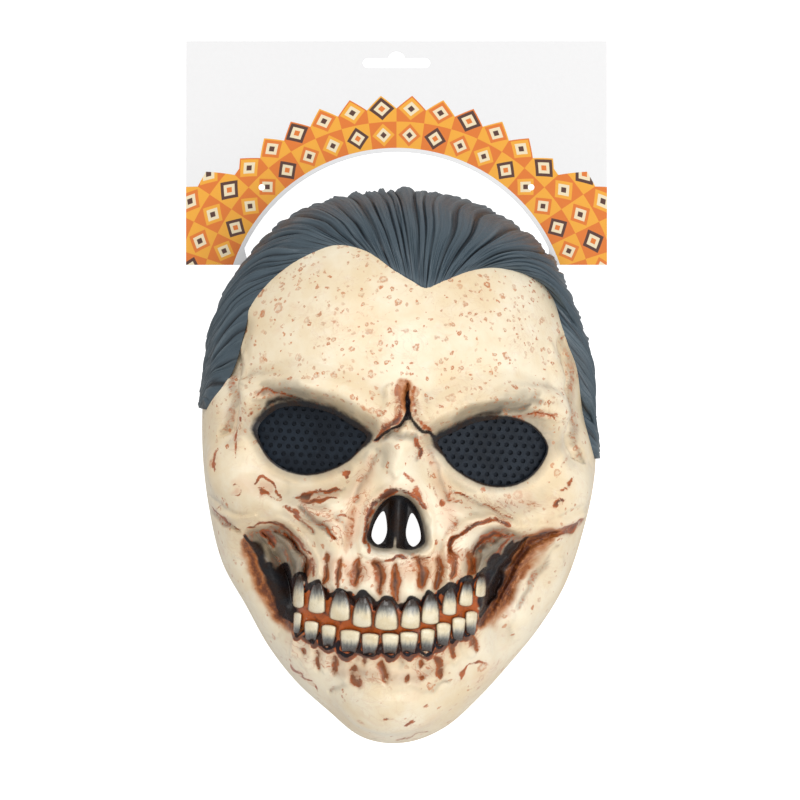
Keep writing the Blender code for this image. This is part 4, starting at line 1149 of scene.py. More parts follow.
def speckle_group():
    """Small painted rings and the pits inside them."""
    build, given = new_group("Speckles", {"Cells": 120.0, "Share": 0.5, "Size": 0.3}, ["Rings", "Pits"])
    bend = build.add("ShaderNodeTexNoise", {"Vector": given, "Scale": 330.0, "Detail": 3.0}, "Color")
    away = build.add("ShaderNodeVectorMath", {0: bend, 1: (0.5, 0.5, 0.5)}, operation="SUBTRACT")
    small = build.add("ShaderNodeVectorMath", {0: away, "Scale": 0.0034}, operation="SCALE")
    bent = build.add("ShaderNodeVectorMath", {0: given, 1: small}, operation="ADD")
    cell = build.add("ShaderNodeTexVoronoi", {"Vector": bent, "Scale": given["Cells"], "Randomness": 1.0},
                     "Distance")
    chance = build.add("ShaderNodeSeparateColor", {0: cell["Color"]})
    chosen = chance.maths("LESS_THAN", chance, given["Share"])
    size = (chance[1] * 0.9 + 0.25) * given["Size"]
    off = abs(cell - size) / size
    ring = off.spread(0.60, 0.15) * build.noise(900.0, 2.0).spread(0.32, 0.48)
    return close_group(build, Rings=ring * chosen * (chance[2] * 0.75 + 0.35),
                       Pits=(cell / size).spread(0.95, 0.3) * chosen)


def latex_skin_group():
    """Fine unevenness of cast latex: a height and a roughness."""
    build, given = new_group("Latex skin", {"Grain": 700.0, "Roughness": 0.4}, ["Height", "Roughness"])
    fine, broad = build.noise(given["Grain"], 4.0, 0.6), build.noise(90.0, 3.0, 0.5)
    return close_group(build, Height=fine * 0.35 + broad * 0.65,
                       Roughness=given["Roughness"] + (fine - 0.5) * 0.35)


GROUPS = {}


def bone_material(colours):
    """Painted bone: warm ivory with rust brushed into the hollows, black paint with painted shade in the
    deepest hollows, and olive painted shade in the sockets and creases.
    """
    finish = Finish("painted bone", Coat_Roughness=0.16)
    cloud, mottle = finish.noise(26.0, 4.0, 0.6), finish.noise(120.0, 5.0, 0.65, 0.6)
    colour = finish.mixed(cloud.spread(0.35, 0.65), colours.bone_light, colours.bone_warm)
    colour = finish.mixed(mottle.spread(0.50, 0.72) * 0.22, colour, colours.bone_pale)
    pink = finish.attribute("pink")
    pinkish = finish.noise(45.0, 4.0, 0.6, 0.8).spread(0.55, 0.75) * 0.22
    colour = finish.mixed(pink.maths("ADD", pink * 0.75, pinkish, clamp=True), colour, colours.pink)
    # Olive painted shade in the sockets, creases and hollows, broken by the mottle.
    painted_shade = finish.attribute("painted_shade") * mottle.spread(0.25, 0.70, 0.65, 1.0)
    colour = finish.mixed(painted_shade * 0.95, colour, colours.painted_shade)

    dense = finish.attribute("speckled")
    rings, pits = None, None
    for cells, share, size in ((125.0, 0.22, 0.24), (240.0, 0.30, 0.28), (440.0, 0.30, 0.34)):
        marks = finish.group(speckle_group, Cells=cells, Share=dense * share, Size=size)
        rings = rings.highest(marks) if rings else marks
        pits = pits.highest(marks["Pits"]) if pits else marks["Pits"]
    fleck = finish.noise(260.0, 4.0, 0.62, 1.2).spread(0.60, 0.70) * cloud.spread(0.40, 0.62) * dense
    tint = finish.mixed(finish.noise(60.0, 2.0), colours.speckle, colours.speckle_dark)
    colour = finish.mixed((rings * 0.90).highest(fleck * 0.40).highest(pits * 0.20), colour, tint)

    rusted = finish.attribute("rust")
    patchy = finish.noise(150.0, 4.0, 0.65).spread(0.30, 0.62) + 0.45
    rust = finish.group(ragged_paint_group, Weight=rusted * patchy, Grain=560.0, Raggedness=0.62)
    uneven = (finish.noise(170.0, 4.0, 0.6) - 0.5) * 1.2
    rust_tone = finish.mixed((rusted + uneven).spread(0.45, 1.05), colours.rust, colours.rust_dark)
    vein = abs(finish.noise(85.0, 6.0, 0.62, 1.4) - 0.5).spread(0.030, 0.006)
    vein = vein * finish.noise(60.0, 3.0).spread(0.44, 0.58)
    colour = finish.mixed(vein * pink.maths("ADD", pink * 1.6, 0.10, clamp=True), colour, colours.rust)
    colour = finish.mixed(rust * 0.94, colour, rust_tone)
    stained = finish.attribute("stain") * finish.noise(420.0, 5.0, 0.7).spread(0.25, 0.60, 0.72, 1.0)
    stain_tone = finish.mixed(stained.spread(0.58, 1.02), colours.orange, colours.rust_dark)
    colour = finish.mixed(stained.spread(0.0, 0.84), colour, stain_tone)

    gum = finish.group(ragged_paint_group, Weight=finish.attribute("gum"), Grain=300.0, Raggedness=0.15)
    gum_patch = finish.noise(210.0, 5.0, 0.65, 0.8).spread(0.46, 0.72)
    colour = finish.mixed(gum, colour, finish.mixed(gum_patch, colours.rust, colours.rust_dark))
    # Black paint and painted shade of the deepest hollows, the eye rims, the nose and the gums.
    dark_paint_and_shade = finish.group(ragged_paint_group, Weight=finish.attribute("dark_paint_and_shade"), Grain=260.0, Raggedness=0.20)
    soot_tone = finish.mixed(mottle.spread(0.35, 0.70), colours.dark_paint_and_shade, colours.soot_brown)
    colour = finish.mixed(dark_paint_and_shade * 0.97, colour, soot_tone)
    skin = finish.group(latex_skin_group, Grain=650.0, Roughness=0.42)
    height = skin * 0.5 - pits * 0.35 - rust * 0.25
    return finish.close(
        Base_Color=colour, Roughness=skin["Roughness"] - dark_paint_and_shade * 0.14, Coat_Weight=0.30 - dark_paint_and_shade * 0.22,
        Specular_IOR_Level=0.34 - dark_paint_and_shade * 0.20, Normal=finish.bump(height, 0.0011, 0.75))


def inside_material(colours):
    """Bare latex of the mask's inside and rim."""
    finish = Finish("bare latex")
    tone = finish.mixed(finish.noise(35.0, 4.0).spread(0.3, 0.7), colours.latex, colours.latex_dark)
    return finish.cast(tone, 420.0, 0.62, 0.0012, 0.7)


def hair_material(colours):
    """Moulded hair: slate, with painted shade between the locks and painted highlights on their crests."""
    finish = Finish("slate hair", Coat_Weight=0.08, Coat_Roughness=0.30, Specular_IOR_Level=0.42)
    crest, strand = finish.attribute("crest"), finish.attribute("strand")
    # Painted shade in the grooves between the locks and strands.
    tone = finish.mixed((crest * 0.62 + strand * 0.45).spread(0.12, 0.68), colours.hair_shadow, colours.hair)
    patch = finish.noise(70.0, 4.0, 0.6).spread(0.42, 0.66)
    # Painted highlight on the crests of the strands.
    lit = strand.spread(0.55, 0.95) * crest * 0.60 * (patch * 0.7 + 0.3)
    return finish.cast(finish.mixed(lit, tone, colours.hair_highlight), 800.0, 0.44, 0.0005, 0.6)


def tooth_material(colours):
    """Tooth enamel: ivory, grey and then brown-black towards the root, rust at the edges."""
    finish = Finish("tooth enamel", Coat_Weight=0.6, Coat_Roughness=0.18)
    drawn = finish.add("ShaderNodeMapping", {"Vector": finish.place, "Scale": (5.0, 1.0, 1.0)})
    streak = finish.noise(230.0, 4.0, 0.6, place=drawn)
    ivory = finish.mixed(finish.noise(160.0).spread(0.35, 0.7), colours.tooth, colours.tooth_shade)
    root = finish.attribute("root") + (streak - 0.5) * 0.30
    grey = finish.mixed(root.spread(0.36, 0.72), ivory, colours.tooth_grey)
    colour = finish.mixed(root.spread(0.58, 0.90), grey, colours.soot_brown)
    edge = finish.group(ragged_paint_group, Weight=finish.attribute("edge"), Grain=420.0, Raggedness=0.25)
    colour = finish.mixed(edge * 0.85, colour, colours.rust_dark)
    return finish.cast(colour, 900.0, 0.30, 0.0004, 0.5, streak)


def mesh_material(colours):
    """Coated eye mesh."""
    finish = Finish("eye mesh", Specular_IOR_Level=0.25)
    worn = finish.noise(300.0, 4.0) * 0.4 + finish.noise(32.0, 2.0) * 0.6
    tone = finish.mixed(worn.spread(0.42, 0.60), colours.mesh, colours.mesh_light)
    return finish.cast(tone, 1500.0, 0.55, 0.0003, 0.8)


def shade_gauze_material(colours):
    """Fine dark woven gauze behind the mesh: a black sheet that paints the shade inside the mask seen through
    the holes.
    """
    finish = Finish("dark gauze", Roughness=0.9, Sheen_Weight=0.15)
    across = finish.add("ShaderNodeSeparateXYZ", {0: finish.place})
    turns = [across[axis] * (2 * math.pi / THREAD_PITCH) for axis in (0, 1)]
    threads = [turn.maths("SINE", turn) * 0.5 + 0.5 for turn in turns]
    weave = threads[0].highest(threads[1])
    return finish.close(Base_Color=finish.mixed(weave, colours.gauze, colours.shade_gauze_thread),
                        Normal=finish.bump(weave, 0.0002, 0.6))


def card_material(colours):
    """Coated card with a plain printed band of diamonds round its arch."""
    finish = Finish("printed card", Coat_Weight=0.12, Coat_Roughness=0.35)
    across = finish.add("ShaderNodeSeparateXYZ", {0: finish.place})
    up = across[1] - (card_foot() - ARCH_DROP)
    radius = across.maths("SQRT", across * across + up * up)
    bearing = across.maths("ARCTAN2", across, up)
    ring = (radius - (ARCH_RADIUS + BAND_GAP)) / DIAMOND_TALL
    spoke = bearing / DIAMOND_WIDE + 100.0
    sideways = abs(spoke.maths("FRACT", spoke) - 0.5)
    reach = abs(ring.maths("FRACT", ring) - 0.5) + sideways
    row, column = ring.maths("FLOOR", ring), spoke.maths("FLOOR", spoke)
    odd = (row + column) % 2.0
    third = ((column + row * 2.0) % 3.0).spread(1.4, 1.6)
    orange, amber, brown = colours.print_orange, colours.print_amber, colours.print_brown
    ground = finish.mixed(third, finish.mixed(odd, orange, amber), brown)
    printed = finish.mixed(reach.spread(0.44, 0.425), finish.mixed(odd, amber, orange), ground)
    printed = finish.mixed(reach.spread(0.285, 0.27), printed, colours.print_cream)
    printed = finish.mixed(reach.spread(0.135, 0.12), printed, finish.mixed(third, brown, orange))
    lower = (abs(bearing) - CORNER_BEARING).highest(0.0)
    inside = ring.maths("LESS_THAN", ring + sideways, lower * 6.0 + 2.0)
    inside = inside * ring.maths("GREATER_THAN", ring, 0.0)
    normal = finish.add("ShaderNodeNewGeometry", output="True Normal")
    facing = finish.add("ShaderNodeSeparateXYZ", {0: normal}, 2)
    shown = inside * facing.maths("GREATER_THAN", facing, 0.5)
    paper = finish.mixed(finish.noise(500.0, 3.0), colours.card, colours.card_shade)
    grain = finish.noise(900.0, 3.0)
    return finish.close(Base_Color=finish.mixed(shown, paper, printed), Roughness=grain * 0.15 + 0.38,
                        Normal=finish.bump(grain, 0.0001, 0.4))


PLAN = {}


def plan():
    """The bone's plan, made once: its lift, the lift without its finest grooves, and its paints."""
    if not PLAN:
        PLAN["lift"], PLAN["paint"] = build_plan()
        PLAN["smooth"] = softened(PLAN["lift"], 0.0022)
    return PLAN


# Pieces

def make_face(context):
    """Bone shell with its painted relief and open eyes and nostrils."""
    lift, paint = plan()["lift"], plan()["paint"]
    columns, rows, factor = FACE_GRID
    u, v = np.meshgrid(spaced(columns, COLUMN_DENSITY), spaced(rows, ROW_DENSITY))
    across, up = u * np.sqrt(1 - v * v / 2), v * np.sqrt(1 - u * u / 2)
    bearing = np.degrees(np.arctan2(up, across))
    share = np.clip(ring_share(np.hypot(across, up)), 0.0005, 1.0)
    outer = face_point(lift, bearing, share)
    few_bearing, few_share = bearing[::factor, ::factor], share[::factor, ::factor]
    inner = face_point(softened(lowest(lift, 0.0035), 0.0012), few_bearing, few_share)
    inner = inner - dome_normal(few_bearing, np.minimum(few_share, RIM_START)) * SHELL_WALL
    inner[..., 2] = np.where(few_share > 0.999, 0.0, np.maximum(inner[..., 2], 0.0))
    piece = new_object("bone_face", shell_mesh("bone_face", outer, inner, factor))
    openings = []
    for side in (1, -1):
        openings += [closed_curve(EYE_OUTLINE, 8, side), closed_curve(NOSTRIL_OUTLINE, 8, side)]
    cutter = new_object("openings", outline_prism(openings, MASK_DEPTH * 0.3, MASK_DEPTH * 1.3))
    cut = piece.modifiers.new("Openings", "BOOLEAN")
    cut.operation, cut.solver, cut.object = "DIFFERENCE", "MANIFOLD", cutter
    piece.data.materials.append(bone_material(context.scene.skull_mask_colours))
    piece.data.materials.append(inside_material(context.scene.skull_mask_colours))
    mesh = settled(piece)
    bpy.data.objects.remove(cutter)
    points = mesh_points(mesh)
    x, y, z = points.T
    off_rim = smooth_step((z - 0.014) / 0.016)
    for name, field in paint.items():
        set_attribute(mesh, name, read_plan(field, x, y) * off_rim)
    calm = 0.30 + 0.70 * smooth_step((y - 0.012) / 0.014)
    set_attribute(mesh, "speckled", calm * (smooth_step((z - 0.012) / 0.03) * 0.7 + 0.3))
    place_mesh(mesh, points, over_rim=True)
    mesh.shade_smooth()
    mesh.set_sharp_from_angle(angle=math.radians(70))
    hand_over(piece, "bone", "face_shell")


def hair_grid(lift, sizes):
    """Points of the hair's outer side and its skin, and each one's height on its lock and strand."""
    generator = np.random.default_rng(7)
    across = np.linspace(0, 1, HAIR_GRID[0])
    down = np.linspace(0, 1, HAIR_GRID[1])[:, None]
    every = np.ones((HAIR_GRID[1], HAIR_GRID[0]))
    middles = [0.65 * start + 0.35 * end for end, start in COMBED]
    combed = middles[0] + (middles[-1] - middles[0]) * across
    ends, starts = (smooth_table(list(zip(middles, column)), combed) for column in zip(*COMBED))
    hairline = smooth_table(HAIRLINE, starts) * smooth_table(OUTLINE, starts, period=360)
    hairline = hairline / skull_reach(starts)
    start_step = ring_step(np.minimum(hairline, RIM_START))
    bearing = starts + (ends - starts) * (1 - (1 - down) ** 1.7)
    share = np.clip(ring_share(start_step + (1 - start_step) * down), 0, 1)
    widths = generator.uniform(0.45, 1.55, sizes.lock_count)
    heights = generator.uniform(0.45, 1.0, sizes.lock_count)
    edges = np.concatenate([[0], np.cumsum(widths / widths.sum())])
    sway = 0.016 * noise_line(generator, 9, across * every, down * every, 3)
    place = np.clip(across + sway * np.sin(math.pi * down), 0, 0.9999)
    lock = np.clip(np.searchsorted(edges, place, side="right") - 1, 0, sizes.lock_count - 1)
    along = (place - edges[lock]) / (edges[lock + 1] - edges[lock])
    middle = np.where(place < 0.48, 0.66, 0.34)
    side = np.where(along < middle, (middle - along) / middle, (along - middle) / (1 - middle))
    crest = np.clip(1 - side**2.1, 0, 1)
    strand = np.zeros_like(place)
    for waves, weight in ((120, 0.30), (260, 0.36), (430, 0.34)):
        strand += weight * noise_line(generator, waves, place, down * every, 4)
    strand = 0.5 + 0.5 * np.clip(strand * 1.8, -1, 1)
    emerge = smooth_step(down * 3.4 + 0.10 + 0.12 * (strand - 0.5))
    body = (HAIR_BUILD - sizes.lock_rise) * emerge
    locks = sizes.lock_rise * crest * heights[lock] * smooth_step(down * 2.4 + 0.05)
    fine_rise = sizes.strand_rise * (strand - 0.5) * smooth_step(down * 5 + 0.3)
    rise = (body + locks) * (0.30 + 0.70 * hair_cover(bearing)) + fine_rise + 0.0002
    rise -= 0.0007 * strand * (1 - smooth_step(down * 14))
    skin = face_point(np.maximum(softened(lift, 0.0040), lift), bearing, share)
    normal = dome_normal(bearing, np.minimum(share, RIM_START))
    return skin + normal * rise[..., None], skin - normal * 0.0004, crest, strand


def make_hair(context):
    """Swept hair: one layer of combed locks from the hairline to the rim."""
    factor = HAIR_GRID[2]
    outer, skin, crest, strand = hair_grid(plan()["lift"], context.scene.skull_mask_sizes)
    inner = skin[::factor, ::factor]
    mesh = shell_mesh("swept_hair", outer, inner, factor)
    flat = np.zeros(inner.shape[0] * inner.shape[1])
    for name, values in (("crest", crest), ("strand", strand)):
        set_attribute(mesh, name, np.concatenate([values.reshape(-1), flat]))
    mesh.polygons.foreach_set("material_index", np.zeros(len(mesh.polygons), np.int32))
    mesh.materials.append(hair_material(context.scene.skull_mask_colours))
    place_mesh(mesh, mesh_points(mesh), over_rim=True)
    mesh.shade_smooth()
    hand_over(new_object("swept_hair", mesh), "hair", "hair")


def tooth_patch(x, y, half, tall, root, generator, tooth_rise):
    """Closed, rounded tooth: points, faces, how near the root and how near the edge each point is."""
    columns, rows = TOOTH_GRID
    u = np.linspace(-1, 1, columns)[None, :]
    v = np.linspace(0, 1, rows)[:, None]
    crown = (1 - (1 - v) ** 3) ** 0.62 if root > 0 else (1 - (1 - v) ** 2) ** 0.8
    corner = np.sqrt(np.clip(1 - np.clip((v - 0.86) / 0.14, 0, 1) ** 2.4, 0, 1)) * 0.28 + 0.72
    lean = generator.uniform(-0.10, 0.10)
    narrow, wide = (0.12, 1.16) if root > 0 else (0.62, 1.26)
    px = x + u * half * wide * (narrow + (1 - narrow) * crown) * corner + lean * half * (1 - v)
    drop = 0.10 * tall * u**2 * smooth_step((v - 0.5) * 2)
    py = y + root * (tall * (1 - 2 * v) + drop)
    seat = read_plan(plan()["lift"], px, py) + dome_height(px, py)
    base = read_plan(plan()["smooth"], px, py) + dome_height(px, py)
    side = np.clip(1 - np.abs(u) ** 3.2, 0, 1) ** 0.55
    ends = np.clip(1 - (np.clip(v - 0.72, 0, 1) / 0.28) ** 2.6, 0, 1) ** 0.5 * smooth_step(v / 0.30 + 0.12)
    rise = tooth_rise * (0.10 + 0.90 * side * ends) * (0.65 + 0.35 * smooth_step(v * 1.5))
    front = np.stack([px, py, base + rise], -1)
    back = np.stack([px, py, np.minimum(seat, base) - 0.0006], -1)
    count = rows * columns
    index = np.arange(count).reshape(rows, columns)
    faces = grid_faces(index) + grid_faces(index + count, flipped=True)
    ring = [int(index[place]) for place in rim_order(rows, columns)]
    for here, there in zip(ring, ring[1:] + ring[:1]):
        faces.append([here, there, there + count, here + count])
    points = np.concatenate([front.reshape(-1, 3), back.reshape(-1, 3)])
    near_root = np.broadcast_to(1 - v, (rows, columns)).reshape(-1)
    near_edge = np.maximum(np.abs(u) ** 4, 0.9 * np.clip((v - 0.9) / 0.1, 0, 1) ** 2).reshape(-1)
    return points, faces, np.tile(near_root, 2), np.concatenate([near_edge, np.ones(count)])


def make_teeth(context):
    """Two rows of rounded teeth standing out of the gums."""
    tooth_rise = context.scene.skull_mask_sizes.tooth_rise
    finish = tooth_material(context.scene.skull_mask_colours)
    generator = np.random.default_rng(11)
    for name, node, direction in (("upper_row", "upper_teeth", 1), ("lower_row", "lower_teeth", -1)):
        points, faces, roots, edges = [], [], [], []
        for tooth in tooth_rows():
            if tooth[-1] != direction:
                continue
            patch, patch_faces, near_root, near_edge = tooth_patch(*tooth, generator, tooth_rise)
            count = sum(map(len, points))
            faces += [[corner + count for corner in face] for face in patch_faces]
            points.append(patch)
            roots.append(near_root)
            edges.append(near_edge)
        mesh = solid_mesh(name, np.concatenate(points), faces)
        set_attribute(mesh, "root", np.concatenate(roots))
        set_attribute(mesh, "edge", np.concatenate(edges))
        mesh.materials.append(finish)
        place_mesh(mesh, mesh_points(mesh))
        mesh.shade_smooth()
        mesh.set_sharp_from_angle(angle=math.radians(60))
        hand_over(new_object(name, mesh), "teeth", node)


def perforation_tree():
    """Geometry nodes that pierce a flat plate with staggered rows of round holes."""
    tree = bpy.data.node_groups.new("Perforate plate", "GeometryNodeTree")
    for label, kind, default in (
            ("Plate", "Geometry", None), ("Pitch", "Float", 0.0041), ("Hole radius", "Float", 0.00125),
            ("Depth", "Float", 0.01), ("Columns", "Int", 16), ("Rows", "Int", 16), ("Middle", "Vector", None),
            ("Finish", "Material", None)):
        socket = tree.interface.new_socket(label, in_out="INPUT", socket_type="NodeSocket" + kind)
        if default is not None:
            socket.default_value = default
    tree.interface.new_socket("Plate", in_out="OUTPUT", socket_type="NodeSocketGeometry")
    build = Builder(tree)
    given = Value(tree.nodes.new("NodeGroupInput").outputs["Plate"])
    row_step = given["Pitch"] * (math.sqrt(3) / 2)
    grid = build.add("GeometryNodeMeshGrid", {
        "Size X": given["Pitch"] * (given["Columns"] - 1.0), "Size Y": row_step * (given["Rows"] - 1.0),
        "Vertices X": given["Columns"], "Vertices Y": given["Rows"]}, "Mesh")
    place = build.add("GeometryNodeInputPosition")
    rows_up = build.add("ShaderNodeSeparateXYZ", {0: place}, 1) / row_step
    odd = abs(rows_up.maths("ROUND", rows_up) % 2.0)
    shift = build.add("ShaderNodeCombineXYZ", {0: odd * 0.5 * given["Pitch"]})
    moved = build.add("ShaderNodeVectorMath", {0: shift, 1: given["Middle"]}, operation="ADD")
    staggered = build.add("GeometryNodeSetPosition", {"Geometry": grid, "Offset": moved})
    punch = build.add("GeometryNodeMeshCylinder", {
        "Vertices": 10, "Radius": given["Hole radius"], "Depth": given["Depth"]}, "Mesh")
    punches = build.add("GeometryNodeInstanceOnPoints", {"Points": staggered, "Instance": punch})
    solid = build.add("GeometryNodeRealizeInstances", {0: punches})
    cut = build.add("GeometryNodeMeshBoolean", {"Mesh 1": given, "Mesh 2": solid},
                    operation="DIFFERENCE", solver="EXACT")
    done = build.add("GeometryNodeRealizeInstances", {0: cut})
    finished = build.add("GeometryNodeSetMaterial", {"Geometry": done, "Material": given["Finish"]})
    return close_group(build, Plate=finished)


def grown(outline, distance):
    """Closed outline moved outwards by a distance."""
    tangent = np.roll(outline, -1, 0) - np.roll(outline, 1, 0)
    tangent /= np.linalg.norm(tangent, axis=1, keepdims=True)
    area = np.sum(outline[:, 0] * np.roll(outline[:, 1], -1) - np.roll(outline[:, 0], -1) * outline[:, 1])
    outwards = np.stack([tangent[:, 1], -tangent[:, 0]], -1) * math.copysign(1, area)
    return outline + outwards * distance


def make_eyes(context):
    """Pierced mesh behind each eye's opening, and the dark gauze behind it, a black sheet that paints the
    shade inside the mask seen through the holes.
    """
    sizes = context.scene.skull_mask_sizes
    colours = context.scene.skull_mask_colours
    tree = perforation_tree()
    identifiers = {item.name: item.identifier for item in tree.interface.items_tree if item.in_out == "INPUT"}
    mesh_finish, shade_gauze_finish = mesh_material(colours), shade_gauze_material(colours)
    slant = math.hypot(1, math.hypot(SOCKET_SLOPE_X, SOCKET_SLOPE_Y))
    for side, label in ((1, "right"), (-1, "left")):
        edge = grown(closed_curve(EYE_OUTLINE, 4, side), MESH_LAP * 0.9)
        grille = new_object("eye_grille_" + label, outline_prism([edge], 0, MESH_THICKNESS * slant))
        modifier = grille.modifiers.new("Perforate", "NODES")
        modifier.node_group = tree
        values = {"Pitch": sizes.mesh_pitch, "Hole radius": sizes.mesh_hole / 2, "Columns": 19, "Rows": 15,
                  "Middle": (*edge.mean(axis=0), 0), "Finish": mesh_finish}
        for key, value in values.items():
            modifier[identifiers[key]] = value
        settled(grille)
        # Black sheet behind the mesh, standing in for the shade inside the mask.
        shading_cloth = new_object("eye_cloth_" + label, outline_prism([edge], 0, SHADE_GAUZE_THICKNESS * slant))
        shading_cloth.data.materials.append(shade_gauze_finish)
        for piece, drop, slot, node in ((grille, MESH_DROP, "eye_mesh", "eye_mesh_"),
                                        (shading_cloth, SHADE_GAUZE_DROP, "gauze", "eye_gauze_")):
            points = mesh_points(piece.data)
            points[:, 2] += socket_floor(points[:, 0], points[:, 1], side) - drop * slant
            place_mesh(piece.data, points)
            hand_over(piece, slot, node + label)


def finish_card(context):
    """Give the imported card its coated, printed finish."""
    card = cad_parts["header_card"]
    finish = card_material(context.scene.skull_mask_colours)
    card.data.materials.clear()
    card.data.materials.append(finish)


def floor_material(colours):
    """Matt studio sheet, lit from below so that it stays pale to the camera."""
    finish = Finish("studio sheet", Roughness=0.9, Emission_Strength=1.0)
    seen = finish.add("ShaderNodeLightPath", output="Is Camera Ray")
    return finish.close(Base_Color=finish.mixed(finish.noise(3.0, 2.0), colours.floor, colours.floor_shade),
                        Emission_Color=finish.mixed(seen, (0.10, 0.10, 0.10), (1, 1, 1)))


def aim(thing, target):
    """Turn a light towards a point."""
    away = Vector(target) - thing.location
    thing.rotation_euler = away.to_track_quat("-Z", "Y").to_euler()


def add_light(name, place, target, size, energy):
    """Soft square light."""
    data = bpy.data.lights.new(name, "AREA")
    data.shape, data.size, data.energy = "SQUARE", size, energy
    light = new_object(name, data)
    light.location = place
    aim(light, target)
    return light


def make_stage(context):
    """Pale floor, soft lights and the camera."""
    stage = context.scene.skull_mask_stage
    half = stage.floor_size / 2
    mesh = bpy.data.meshes.new("studio_floor")
    corners = [(-half, -half), (half, -half), (half, half), (-half, half)]
    mesh.from_pydata([(x, y, FLOOR_LEVEL) for x, y in corners], [], [(0, 1, 2, 3)])
    mesh.materials.append(floor_material(context.scene.skull_mask_colours))
    new_object("studio_floor", mesh)
    world = bpy.data.worlds.new("studio")
    world.use_nodes = True
    build = Builder(world.node_tree)
    seen = build.add("ShaderNodeLightPath", output="Is Camera Ray")
    build.fill(world.node_tree.nodes["Background"],
               {"Color": (1.0, 0.99, 0.97), "Strength": seen.spread(0.0, 1.0, stage.ambient, 1.0)})
    context.scene.world = world
    target = (0, -0.02, 0.04)
    add_light("top_light", (-0.35, 1.15, 1.25), target, 0.9, stage.top_light)
    add_light("front_light", (0.55, -0.75, 1.9), target, 1.2, stage.front_light)
    add_light("side_light", (1.3, -0.4, 1.1), target, 1.0, stage.side_light)
    data = bpy.data.cameras.new("camera")
    data.sensor_width = 36
    data.lens = stage.lens
    data.clip_end = 50
    camera = new_object("camera", data)
    camera.location = (0.00166, -0.0038, stage.camera_height)
    context.scene.camera = camera
    context.scene.view_settings.view_transform = "Standard"


def colour_property(name, description, default):
    """Colour setting."""
    return FloatVectorProperty(name=name, description=description, default=default, subtype="COLOR", size=3,
                               min=0.0, max=1.0)


class MaskSizes(bpy.types.PropertyGroup):
    """Sizes of the dressed pieces."""
    lock_count: IntProperty(name="Locks", description="Locks of hair from temple to temple",
                            default=46, min=6)
    lock_rise: FloatProperty(name="Lock rise", description="Height of a lock's crest over its groove",
                             default=0.0023, unit="LENGTH", precision=4)
    strand_rise: FloatProperty(name="Strand rise", description="Height of the combed strands",
                               default=0.0015, unit="LENGTH", precision=4)
    tooth_rise: FloatProperty(name="Tooth rise", description="How far a tooth stands out of the gum",
                              default=0.0042, unit="LENGTH", precision=4)
    mesh_pitch: FloatProperty(name="Mesh pitch", description="Distance between the holes of the eye mesh",
                              default=0.0041, unit="LENGTH", precision=4)
    mesh_hole: FloatProperty(name="Mesh hole", description="Diameter of a hole of the eye mesh",
                             default=0.0023, unit="LENGTH", precision=4)


class MaskColours(bpy.types.PropertyGroup):
    """Colours of the finishes."""
    bone_light: colour_property("Bone", "Main ivory of the bone", (0.90, 0.80, 0.61))
    bone_warm: colour_property("Warm bone", "Warmer ivory in patches", (0.82, 0.66, 0.43))
    bone_pale: colour_property("Pale bone", "Palest dabs on the bone", (0.93, 0.88, 0.78))
    pink: colour_property("Pink", "Faint flesh tint", (0.70, 0.38, 0.23))
    rust: colour_property("Rust", "Rust brushed into hollows", (0.44, 0.090, 0.010))
    rust_dark: colour_property("Dark rust", "Darker rust", (0.095, 0.021, 0.007))
    orange: colour_property("Ochre", "Ochre glow beside the hollows", (0.44, 0.135, 0.024))
    speckle: colour_property("Speckle", "Fine painted rings and flecks", (0.68, 0.29, 0.12))
    speckle_dark: colour_property("Dark speckle", "Darker rings and flecks", (0.42, 0.11, 0.035))
    # Painted shade: olive darkening above the eyes, round the nose, in the creases and hollows.
    painted_shade: colour_property("Grime", "Olive shade in the sockets", (0.095, 0.080, 0.062))
    # Black paint and painted shade of the hollows, eye rims and nose; the brown-black also paints the roots
    # of the teeth.
    dark_paint_and_shade: colour_property("Soot", "Blue-black of the deepest hollows", (0.006, 0.009, 0.015))
    soot_brown: colour_property("Brown soot", "Brown-black of the deepest hollows", (0.022, 0.010, 0.006))
    hair: colour_property("Hair", "Slate of the hair", (0.055, 0.082, 0.104))
    hair_shadow: colour_property("Hair shadow", "Dark between the locks", (0.006, 0.010, 0.015))
    # Painted highlight on the crests of the locks.
    hair_highlight: colour_property("Hair highlight", "Dry brushed crests", (0.140, 0.180, 0.205))
    tooth: colour_property("Tooth", "Ivory of the teeth", (0.86, 0.77, 0.57))
    tooth_shade: colour_property("Tooth shade", "Darker ivory of the teeth", (0.74, 0.62, 0.40))
    tooth_grey: colour_property("Tooth grey", "Grey towards the roots", (0.20, 0.205, 0.19))
    mesh: colour_property("Mesh", "Blue-black of the eye mesh", (0.004, 0.008, 0.015))
    mesh_light: colour_property("Mesh wear", "Paler coat of the eye mesh", (0.010, 0.017, 0.028))
    # Painted shade: the black sheet behind the eye mesh stands in for the shade inside the mask.
    gauze: colour_property("Gauze", "Black behind the mesh", (0.008, 0.013, 0.022))
    shade_gauze_thread: colour_property("Gauze thread", "Threads of the gauze", (0.016, 0.023, 0.036))
    latex: colour_property("Latex", "Bare latex inside", (0.72, 0.64, 0.50))
    latex_dark: colour_property("Dark latex", "Darker patches inside", (0.60, 0.51, 0.38))
    card: colour_property("Card", "Coated card", (0.79, 0.79, 0.80))
    card_shade: colour_property("Card shade", "Fibre of the card", (0.765, 0.765, 0.775))
    print_orange: colour_property("Printed orange", "Orange of the printed band", (0.70, 0.17, 0.012))
    print_amber: colour_property("Printed amber", "Amber of the printed band", (0.82, 0.37, 0.025))
    print_brown: colour_property("Printed brown", "Brown of the printed band", (0.075, 0.022, 0.012))
    print_cream: colour_property("Printed cream", "Cream of the printed band", (0.80, 0.68, 0.46))
    floor: colour_property("Floor", "Studio sheet", (0.50, 0.50, 0.50))
    floor_shade: colour_property("Floor shade", "Faint unevenness of the studio sheet", (0.48, 0.48, 0.48))


